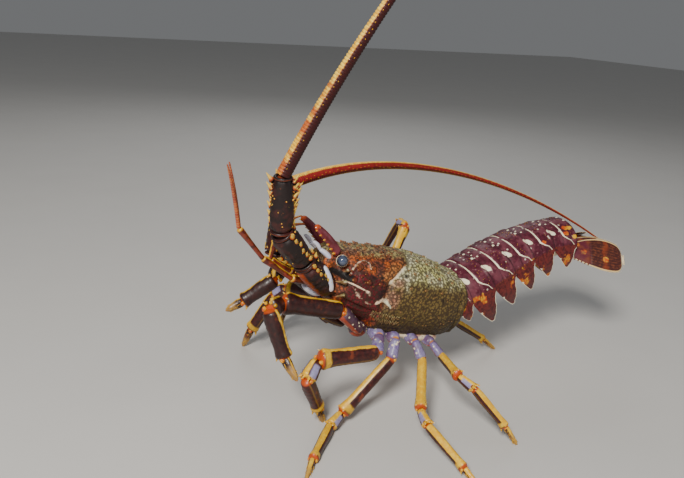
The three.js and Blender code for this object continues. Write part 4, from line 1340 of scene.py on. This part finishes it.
def leg_spines(piece, a, b, radius, part, scale, seed):
    """Spines at the far end of a stretch, and small ones along its upper edge."""
    draw = random.Random(seed)
    plant = planter(piece, a, b, radius * 0.88, 0.85, scale, 0.12)
    if part in ("merus", "carpus"):
        long = 5.0 if part == "merus" else 4.2
        for degrees in (50, 90, 130):
            plant(0.9, degrees, long if degrees != 90 else long * 0.7, 1.5)
        for i in range(6):
            plant(0.12 + 0.13 * i, 90 + draw.uniform(-14, 14), draw.uniform(1.2, 2.2), 0.75)
    if part == "propodus":
        plant(0.95, 250, 4.4, 1.3)
        plant(0.95, 290, 3.4, 1.1)


def dactyl_bristles(piece, a, b, radius, seed):
    """Stiff bristles that lie along the last stretch, in six rows."""
    draw = random.Random(seed)
    direction = (b - a).normalized()
    side, top = across(direction)
    for i in range(64):
        t = draw.uniform(0.02, 0.78)
        out = outward_at(side, top, math.pi / 3 * (i % 6) + draw.uniform(-0.3, 0.3))
        at = a.lerp(b, t) + out * (radius * mix(0.85, 0.5, t))
        spike(piece, at, direction + out * 0.35, draw.uniform(2, 3.6), 0.26, rows=3, columns=5)


# How yellow the legs are, from the first pair to the last. Below -0.04 the leg is the first pair, painted
# darker as shade.
LEG_YELLOW_AND_SHADE = {"1": -0.05, "2": 0.0, "3": 0.15, "4": 0.7, "5": 0.7}


def build_leg(number, name, side, root, thick, stout, stretches, spine_scale):
    """One walking leg, from its root to its claw."""
    joints = leg_joints(side, root, stretches)
    piece = Piece()
    for k, (part, radius, overlap, profile, kind) in enumerate(STRETCHES):
        a, b = joints[k], joints[k + 1]
        way = (b - a).normalized()
        at_root = k < 2
        wide = radius * (thick if at_root else stout)
        leg_spines(piece, a, b, wide, part, spine_scale, 100 * number + k)
        if part == "dactyl":
            dactyl_bristles(piece, a, b, wide, 100 * number + k)
        limb(piece, a - way * overlap, b, wide, profile, flat=0.9 if at_root else 1.1, rows=44, columns=28,
             kind=kind, rough=0.05, seed=10 * number + k, keel=0.0 if at_root else 0.1,
             tone=LEG_YELLOW_AND_SHADE[name[1]])
        if 0 < k < len(STRETCHES) - 1:
            joint_balls(piece, b, way, wide)
    for vert in piece.bm.verts:
        vert.co.z = max(vert.co.z, 0.0)
    piece.finish(f"walking_leg_{name}", "striped leg",
                 [f"leg_{name}_upper", f"leg_{name}_lower"], "leg_shell")


def joint_balls(piece, joint, way, wide):
    """The two balls on which a leg's joint turns."""
    side, _ = across(way)
    for sign in (-1, 1):
        ball(piece, joint + side * (sign * wide * 0.72) - way * 0.6, (wide * 0.26, wide * 0.34, wide * 0.34),
             (side, way, side.cross(way)), rows=8, columns=12, kind=0.7)


def build_legs(sizes):
    """Ten walking legs."""
    for number, leg in enumerate(LEGS):
        build_leg(number, *leg, sizes.spine_scale)


# Tail
TAIL_START, TAIL_AXIS_HEIGHT = 134, -9.5
SOMITES = (
    # length, half width, rise, lift, yaw, drop of the side flaps
    (18, 30.5, 23.5, 18, 2, 20),
    (28, 32, 25, 22, 4, 36),
    (28, 32, 25, 23.5, 4, 33),
    (28, 31, 24, 22, 1, 31),
    (28, 29, 22.5, 18, -3, 28),
    (27, 26.5, 20, 5, -3, 24),
)
FAN_LIFT, FAN_YAW = 1, 0


def tail_heading(lift, yaw):
    """Where the tail points: lift is above level, and yaw turns it to the right."""
    turned, raised = math.radians(yaw), math.radians(lift)
    flat = math.cos(raised)
    return Vector((math.cos(turned) * flat, math.sin(turned) * flat, math.sin(raised)))


def tail_stops():
    """Where each ring starts, and which way the tail points there."""
    point = place(TAIL_START, 0, TAIL_AXIS_HEIGHT)
    ways = [tail_heading(lift, yaw) for *_, lift, yaw, _ in SOMITES] + [tail_heading(FAN_LIFT, FAN_YAW)]
    stops = []
    for k, way in enumerate(ways):
        before = ways[max(k - 1, 0)]
        stops.append((point.copy(), (before + way).normalized()))
        if k < len(SOMITES):
            point = point + way * SOMITES[k][0]
    return stops


STOPS = tail_stops()


def tail_frame(k, t):
    """Place on the tail's axis, heading, side and top, at a share t along ring k."""
    (a, a_way), (b, b_way) = STOPS[k], STOPS[k + 1]
    way = a_way.lerp(b_way, t).normalized()
    side, top = across(way)
    return a.lerp(b, t), way, side, top


# A place on a ring is a share along it, from front to rear, and a share over it, from -1 at one flap's
# tip to 1 at the other's. A ring is about 28 mm long, and 74 mm lie between its crest and a flap's tip.
RING_LENGTH, RING_REACH = 28, 74
RING_SHAPE = ((0, 0.93), (0.2, 0.985), (0.38, 1), (0.46, 0.965), (0.53, 1), (0.86, 1.005),
              (0.95, 1.03), (1, 1.025))
FLAP_START = 0.62
# Thickness of a ring's shell, width of its grains, and the fineness of its mesh over and along it
RING_WALL, RING_GRAIN = 1.3, 2.3
RING_ROWS, RING_COLUMNS = 210, 84
# The pale furrow, as (along, over) pairs, and pale spots, as (along, over, reach in millimetres)
FURROW = ((0.44, 0.03), (0.46, 0.15), (0.47, 0.28), (0.49, 0.4), (0.6, 0.46), (0.75, 0.51), (0.87, 0.6))
PALE_SPOTS = ((0.95, 0.07, 1.5), (0.18, 0.075, 1.1), (0.1, 0.0, 0.9), (0.25, 0.8, 1.2), (0.9, 0.8, 1.2))
# The pale blotch at a seam: its place along the ring behind the seam and along the one before it, its
# distance from the crest, its length and its width
BLOTCH_ALONG, BLOTCH_OVER, BLOTCH_LENGTH, BLOTCH_WIDTH = (0.07, 1.07), 21.5, 6.6, 3.3
# Orange spots on the rear rings, as (ring, along, over, reach in millimetres)
EMBERS = ((4, 0.6, 0.41, 3.5), (5, 0.68, 0.25, 4.5), (5, 0.83, 0.26, 4), (5, 0.62, 0.36, 4),
          (5, 0.92, 0.45, 3))


def blotch(x, y):
    """Paleness of a blotch, which is drawn out along its slant, at x behind its middle and y outside it."""
    slant = x * 0.57 + y * 0.82, x * 0.82 - y * 0.57
    return near(math.hypot(slant[0] / BLOTCH_LENGTH, slant[1] / BLOTCH_WIDTH), 0, 1)


def ring_marks(k, p, t):
    """Cream furrow and spots, and edge colour, on ring k at p over it and t along it."""
    away = abs(p)
    x, y = t * RING_LENGTH, away * RING_REACH
    gap = path_gap(FURROW, t, away, RING_LENGTH, RING_REACH)
    pale = near(gap, 0, mix(0.8, 0.65, smooth(away, 0.4, 0.5))) * (1 - 0.35 * smooth(away, 0.44, 0.56))
    for at in BLOTCH_ALONG:
        if 1 <= k + (at > 1) <= 5:
            pale = max(pale, blotch(x - at * RING_LENGTH, y - BLOTCH_OVER))
    for at, over, wide in PALE_SPOTS:
        pale = max(pale, near(math.hypot(x - at * RING_LENGTH, y - over * RING_REACH), 0, wide))
    front, rear, q = ring_outline(p)
    if q > 0.05:
        rim = max(near(t, rear, 0.035), near(t, front, 0.035) * smooth(q, 0.3, 0.5), smooth(q, 0.95, 1.0))
        pale = max(pale, 0.85 * rim)
    return clamp(pale), smooth(away, 0.5, 0.68)


def ring_embers(k, p, t):
    """Share of orange at one place of ring k."""
    spots = (math.hypot((t - at) * RING_LENGTH, (abs(p) - over) * RING_REACH) / reach
             for ring, at, over, reach in EMBERS if ring == k)
    return clamp(max((1.3 - gap for gap in spots), default=0.0))


def ring_outline(p):
    """Front and rear edge of a ring at p over it, as shares of its length, and the place on its flap."""
    q = clamp((abs(p) - FLAP_START) / (1 - FLAP_START))
    front = mix(0.0, 0.66, q ** 1.5)
    rear = 1.0 - 0.12 * smooth(q, 0, 0.3) - 0.1 * q ** 3
    tooth = abs((q * 4.0) % 1.0 - 0.5)
    rear += 0.05 * tooth * smooth(q, 0.15, 0.3) * (1 - smooth(q, 0.85, 1.0))
    return front, max(rear, front + 0.02), q


def ring_point(k, p, t, depth):
    """Outer surface of ring k, moved in by depth."""
    _, half, rise, _, _, drop = SOMITES[k]
    _, half_next, rise_next, *_ = SOMITES[min(k + 1, len(SOMITES) - 1)]
    front, rear, q = ring_outline(p)
    t = mix(front, rear, t)
    point, _, side, top = tail_frame(k, t)
    swell = along(RING_SHAPE, t) if q == 0 else mix(along(RING_SHAPE, t), 1.0, smooth(q, 0, 0.4))
    wide = mix(half, half_next, t) * swell - depth
    tall = mix(rise, rise_next, t) * swell - depth
    if q == 0:
        angle = math.pi / 2 * (1 - p / FLAP_START)
        v = wide * power(math.cos(angle), 0.95)
        w = tall * power(math.sin(angle), 0.95)
    else:
        sign = 1 if p > 0 else -1
        v = sign * (wide + 1.8 * math.sin(math.pi * min(q * 1.1, 1)) - 2.5 * q * q)
        w = -drop * q
    return point + side * v + top * w, t


def build_ring(k):
    """One tail ring: an arched plate with pointed side flaps. The last one is closed behind."""
    piece = Piece()

    def point(t, s):
        p = mix(-1, 1, t)
        outer = s < 0.5
        share_on = s * 2 if outer else 2 - s * 2
        depth = 0.0 if outer else RING_WALL * math.sin(math.pi * (s - 0.5) * 2) ** 0.35
        depth *= 1 - 0.6 * smooth(abs(p), 0.9, 1)
        spot, place_on = ring_point(k, p, share_on, depth)
        pale, edge = ring_marks(k, p, place_on)
        if outer and abs(p) < 0.98:
            spot = spot + UP * (0.22 * noise.noise(spot / RING_GRAIN))
        return spot, (place_on, p, ring_embers(k, p, place_on)), (pale, edge, 0.0)

    piece.wrap(RING_ROWS, RING_COLUMNS, point)
    draw = random.Random(40 + k)
    _, way, _, top = tail_frame(k, 0.5)
    for _ in range(26):
        p = draw.uniform(-0.6, 0.6)
        at, _ = ring_point(k, p, draw.uniform(0.6, 0.9), 0)
        spike(piece, at, way * 1.2 + top * 0.5, draw.uniform(0.6, 1.3), 0.5, rows=4, columns=6)
    if k == len(SOMITES) - 1:
        _, half, rise, *_ = SOMITES[k]
        centre, way, side, top = tail_frame(k, 0.92)
        ball(piece, centre + top * 2, (9, half - 2, rise - 4.5), (way, side, top), rows=30, columns=48)
    piece.finish(f"tail_plate_{k + 1}", "plum tail shell", [f"tail_{k + 1}"], "tail_shell")


def build_bellies():
    """Soft bellies under the rings, joined by folds."""
    piece = Piece()
    for k, (length, half, *_) in enumerate(SOMITES):
        a, way, side, top = tail_frame(k, 0.5)

        def point(t, s):
            go = (eased(t) - 0.5) * (length + 5)
            angle = 2 * math.pi * s
            ends = rounded(eased(t), length + 5, 6)
            v = (half - 3) * ends * power(math.cos(angle), 0.7)
            w = -4 + 9 * ends * power(math.sin(angle), 0.7)
            return a + way * go + side * v + top * w, (t, math.sin(angle), 0.0), PLAIN

        piece.wrap(24, 40, point)
    piece.finish("tail_belly", "pale underside", (), "pale_shell")


# A swimmeret's leaf: half width, length along the tail, length down, and outline
LEAF_HALF, LEAF_BACK, LEAF_DOWN = 7, 15, 20
LEAF_SHAPE = ((0, 0.35), (0.3, 0.9), (0.6, 1), (0.85, 0.75), (1, 0.3))


def build_swimmerets():
    """Pairs of leaf-shaped swimmerets under the second to fifth rings."""
    piece = Piece()
    draw = random.Random(3)
    for k in range(1, 5):
        half = SOMITES[k][1]
        point, way, left, top = tail_frame(k, 0.4)
        for side in (LEFT, RIGHT):
            root = point + left * (-side * half * 0.5) - top * 11
            tip = root + way * LEAF_BACK - top * LEAF_DOWN
            limb(piece, root, tip, LEAF_HALF, LEAF_SHAPE, flat=0.16, rows=30, columns=24, bow=-2.0)
            direction = (tip - root).normalized()
            across_leaf, _ = across(direction)
            for i in range(44):
                t = mix(0.25, 1.0, i // 2 / 21)
                sign = -1 if i % 2 else 1
                at = root.lerp(tip, t) + across_leaf * (sign * (LEAF_HALF * along(LEAF_SHAPE, t) * 0.94))
                spike(piece, at, direction + across_leaf * (sign * 0.7), draw.uniform(1.6, 2.6), 0.2,
                      rows=3, columns=4)
    piece.finish("swimmerets", "swimmeret leaf", (), "tail_shell")


# Tail fan: yaw, drop, distance of the root from the middle, length, half width, thickness, tilt
MIDDLE_BLADE = (0, 4, 0, 62, 17.5, 4, 0)
SIDE_BLADES = (("inner", 14, 6, 13, 58, 16, 3.4, 28), ("outer", 30, 9, 17, 56, 17, 3.4, 50))
FAN_RIBS, TIP_HAIRS, EDGE_HAIRS = 11, 50, 40
# A blade's hard front part turns soft between these shares of its length
FAN_SEAM = (0.34, 0.42)
FAN_SHARE = ((0, 0.42), (0.15, 0.62), (0.35, 0.85), (0.6, 1), (0.8, 0.96), (0.93, 0.78), (1, 0.5))


def blade(piece, side, yaw, drop, root, length, half, thick, tilt):
    """One fan blade: hard and smooth in front, soft and finely ribbed behind, with a fringe."""
    stop, _ = STOPS[len(SOMITES)]
    base = tail_heading(FAN_LIFT, FAN_YAW)
    away, top = across(base)
    way = (Matrix.Rotation(math.radians(yaw) * side, 3, top) @ base).normalized()
    lean = Matrix.Rotation(-math.radians(tilt) * side, 3, way) @ top
    cross = way.cross(lean).normalized()
    start = stop + away * (-side * root) - top * drop

    def blade_point(t, over, face):
        wide = half * along(FAN_SHARE, t) * rounded(t, length, 9 if t > 0.5 else 3)
        soft = smooth(t, *FAN_SEAM)
        ribs = 0.5 + 0.5 * math.cos(over * FAN_RIBS * math.pi)
        height = mix(thick, thick * 0.2, smooth(t, 0, 0.8)) * (0.3 + 0.7 * (1 - over * over))
        height += 0.18 * ribs * soft - 0.5 * near(t, 0.38, 0.02)
        height += 0.8 * near(over, 0, 0.12) * (1 - soft)
        spot = start + way * (t * length) - top * (7 * t * t)
        return spot + cross * (over * wide) + lean * (face * height * 0.9), ribs

    def point(t, s):
        t = 0.5 * (t + eased(t))
        face = 1 if s < 0.5 else -1
        over = face * (1 - 4 * (s if s < 0.5 else s - 0.5))
        edge_share = 1 - abs(over) ** 6
        spot, ribs = blade_point(t, over, face * edge_share)
        edge = smooth(abs(over), 0.82, 0.97)
        return spot, (t, over, ribs), (0.0, edge, 0.0)

    piece.wrap(90, 104, point)
    draw = random.Random(round(17 * yaw + side + 60))
    for i in range(TIP_HAIRS + EDGE_HAIRS):
        if i < TIP_HAIRS:
            over, t = mix(-0.95, 0.95, i / (TIP_HAIRS - 1)), 0.985
        else:
            over, t = (1 if i % 2 else -1) * 0.99, mix(0.5, 0.97, (i - TIP_HAIRS) / (EDGE_HAIRS - 1))
        at, _ = blade_point(t, over, 0)
        spike(piece, at, way + cross * (0.55 * over), draw.uniform(2, 3.2), 0.25, rows=3, columns=4)
    for i in range(5):
        at, _ = blade_point(0.1 + 0.06 * i, 0.93 * -side if yaw else 0.93, 0)
        spike(piece, at, way + cross * (-0.6 * side if yaw else 0.6), 2.4, 1.0)


def build_fan():
    """The middle plate and two blades on each side."""
    middle = Piece()
    blade(middle, RIGHT, *MIDDLE_BLADE)
    middle.finish("fan_middle", "ribbed fan", ["tail_fan_middle"], "tail_shell")
    for letter, side in SIDES:
        for name, *form in SIDE_BLADES:
            piece = Piece()
            blade(piece, side, *form)
            piece.finish(f"fan_{name}_{letter}", "ribbed fan", [f"tail_fan_{name}_{letter}"], "tail_shell")


# Stage
CAMERA_PLACE = Vector((-330.3, -511.5, 342.4))
CAMERA_AZIMUTH, CAMERA_ELEVATION, CAMERA_ROLL = -28, 18, 4
IMAGE_WIDTH, FOCAL_PIXELS, SENSOR = 684, 700, 36
LIGHT_AIM = Vector((0, 0, 0.12))


def set_camera():
    """The camera looks down on the animal's front left, a little rolled."""
    az, el, roll = (math.radians(v) for v in (CAMERA_AZIMUTH, CAMERA_ELEVATION, CAMERA_ROLL))
    back = Vector((math.sin(az) * math.cos(el), -math.cos(az) * math.cos(el), math.sin(el)))
    right = Vector((math.cos(az), math.sin(az), 0))
    up = back.cross(right)
    right, up = right * math.cos(roll) + up * math.sin(roll), up * math.cos(roll) - right * math.sin(roll)
    camera = bpy.data.cameras.new("camera")
    camera.sensor_width = SENSOR
    camera.lens = SENSOR * FOCAL_PIXELS / IMAGE_WIDTH
    camera.clip_start = 0.01
    holder = show("camera", camera)
    turned = Matrix((right, up, back)).transposed().to_4x4()
    holder.matrix_world = Matrix.Translation((CAMERA_PLACE + SHIFT) * MM) @ turned
    bpy.context.scene.camera = holder


def set_floor():
    """A square floor of 12 metres under the animal."""
    bm = bmesh.new()
    bmesh.ops.create_grid(bm, x_segments=2, y_segments=2, size=6.0)
    mesh = bpy.data.meshes.new("floor")
    bm.to_mesh(mesh)
    bm.free()
    mesh.materials.append(material("pale floor"))
    show("floor", mesh)


def add_light(name, spot, power_watts, width, tint):
    """A round lamp that is aimed at the animal."""
    light = bpy.data.lights.new(name, "AREA")
    light.shape = "DISK"
    light.size = width
    light.energy = power_watts
    light.color = tint
    holder = show(name, light)
    holder.location = spot
    holder.rotation_euler = (LIGHT_AIM - Vector(spot)).to_track_quat("-Z", "Y").to_euler()


def set_lights():
    """A warm key light from the front left, weak fill and rim lights, and a dim studio round them."""
    add_light("key", (-1.0, -0.95, 1.15), 38, 0.4, (1.0, 0.96, 0.90))
    add_light("fill", (1.3, -0.9, 0.7), 3, 1.2, (0.92, 0.96, 1.0))
    add_light("rim", (0.5, 1.3, 1.2), 5, 0.9, (1.0, 1.0, 1.0))
    world = bpy.data.worlds.new("studio")
    world.use_nodes = True
    background = world.node_tree.nodes["Background"]
    background.inputs["Color"].default_value = (0.80, 0.82, 0.84, 1)
    background.inputs["Strength"].default_value = 0.2
    bpy.context.scene.world = world


# Operators

class LOBSTER_OT_stage(bpy.types.Operator):
    """Set the camera, the floor and the studio light."""

    bl_idname = "lobster.stage"
    bl_label = "Stage"

    def execute(self, context):
        set_camera()
        set_floor()
        set_lights()
        return {"FINISHED"}


class LOBSTER_OT_head(bpy.types.Operator):
    """Build the carapace with its spines, the horns, the front plate and the eyes."""

    bl_idname = "lobster.head"
    bl_label = "Carapace and head"

    def execute(self, context):
        sizes = context.scene.lobster_sizes
        build_carapace(sizes)
        build_horns(sizes)
        build_head_front()
        build_eyes(sizes)
        return {"FINISHED"}


class LOBSTER_OT_feelers(bpy.types.Operator):
    """Build the antennae and the antennules."""

    bl_idname = "lobster.feelers"
    bl_label = "Antennae and antennules"

    def execute(self, context):
        build_antennae(context.scene.lobster_sizes)
        build_antennules()
        return {"FINISHED"}


class LOBSTER_OT_limbs(bpy.types.Operator):
    """Build the mouth legs, the breastplate and the walking legs."""

    bl_idname = "lobster.limbs"
    bl_label = "Mouth legs and walking legs"

    def execute(self, context):
        sizes = context.scene.lobster_sizes
        build_mouth()
        build_breastplate()
        build_legs(sizes)
        return {"FINISHED"}


class LOBSTER_OT_tail(bpy.types.Operator):
    """Build the tail rings, the belly, the swimmerets and the tail fan."""

    bl_idname = "lobster.tail"
    bl_label = "Tail and fan"

    def execute(self, context):
        for k in range(len(SOMITES)):
            build_ring(k)
        build_bellies()
        build_swimmerets()
        build_fan()
        return {"FINISHED"}


OPERATORS = (LOBSTER_OT_stage, LOBSTER_OT_head, LOBSTER_OT_feelers, LOBSTER_OT_limbs, LOBSTER_OT_tail)


class LOBSTER_PT_panel(bpy.types.Panel):
    """Lists the steps that build the lobster, and its sizes and colours."""

    bl_label = "Spiny Lobster"
    bl_idname = "LOBSTER_PT_panel"
    bl_space_type = "VIEW_3D"
    bl_region_type = "UI"
    bl_category = "Lobster"

    def draw(self, context):
        for step in OPERATORS:
            self.layout.operator(step.bl_idname)
        for group in (context.scene.lobster_sizes, context.scene.lobster_colours):
            box = self.layout.box()
            for name in group.__annotations__:
                box.prop(group, name)


CLASSES = (LobsterSizes, LobsterColours, *OPERATORS, LOBSTER_PT_panel)


def register():
    for cls in CLASSES:
        bpy.utils.register_class(cls)
    bpy.types.Scene.lobster_sizes = PointerProperty(type=LobsterSizes)
    bpy.types.Scene.lobster_colours = PointerProperty(type=LobsterColours)


def unregister():
    del bpy.types.Scene.lobster_colours
    del bpy.types.Scene.lobster_sizes
    for cls in reversed(CLASSES):
        bpy.utils.unregister_class(cls)


def main():
    register()
    bpy.ops.lobster.stage()
    bpy.ops.lobster.head()
    bpy.ops.lobster.feelers()
    bpy.ops.lobster.limbs()
    bpy.ops.lobster.tail()


if __name__ == "__main__":
    main()
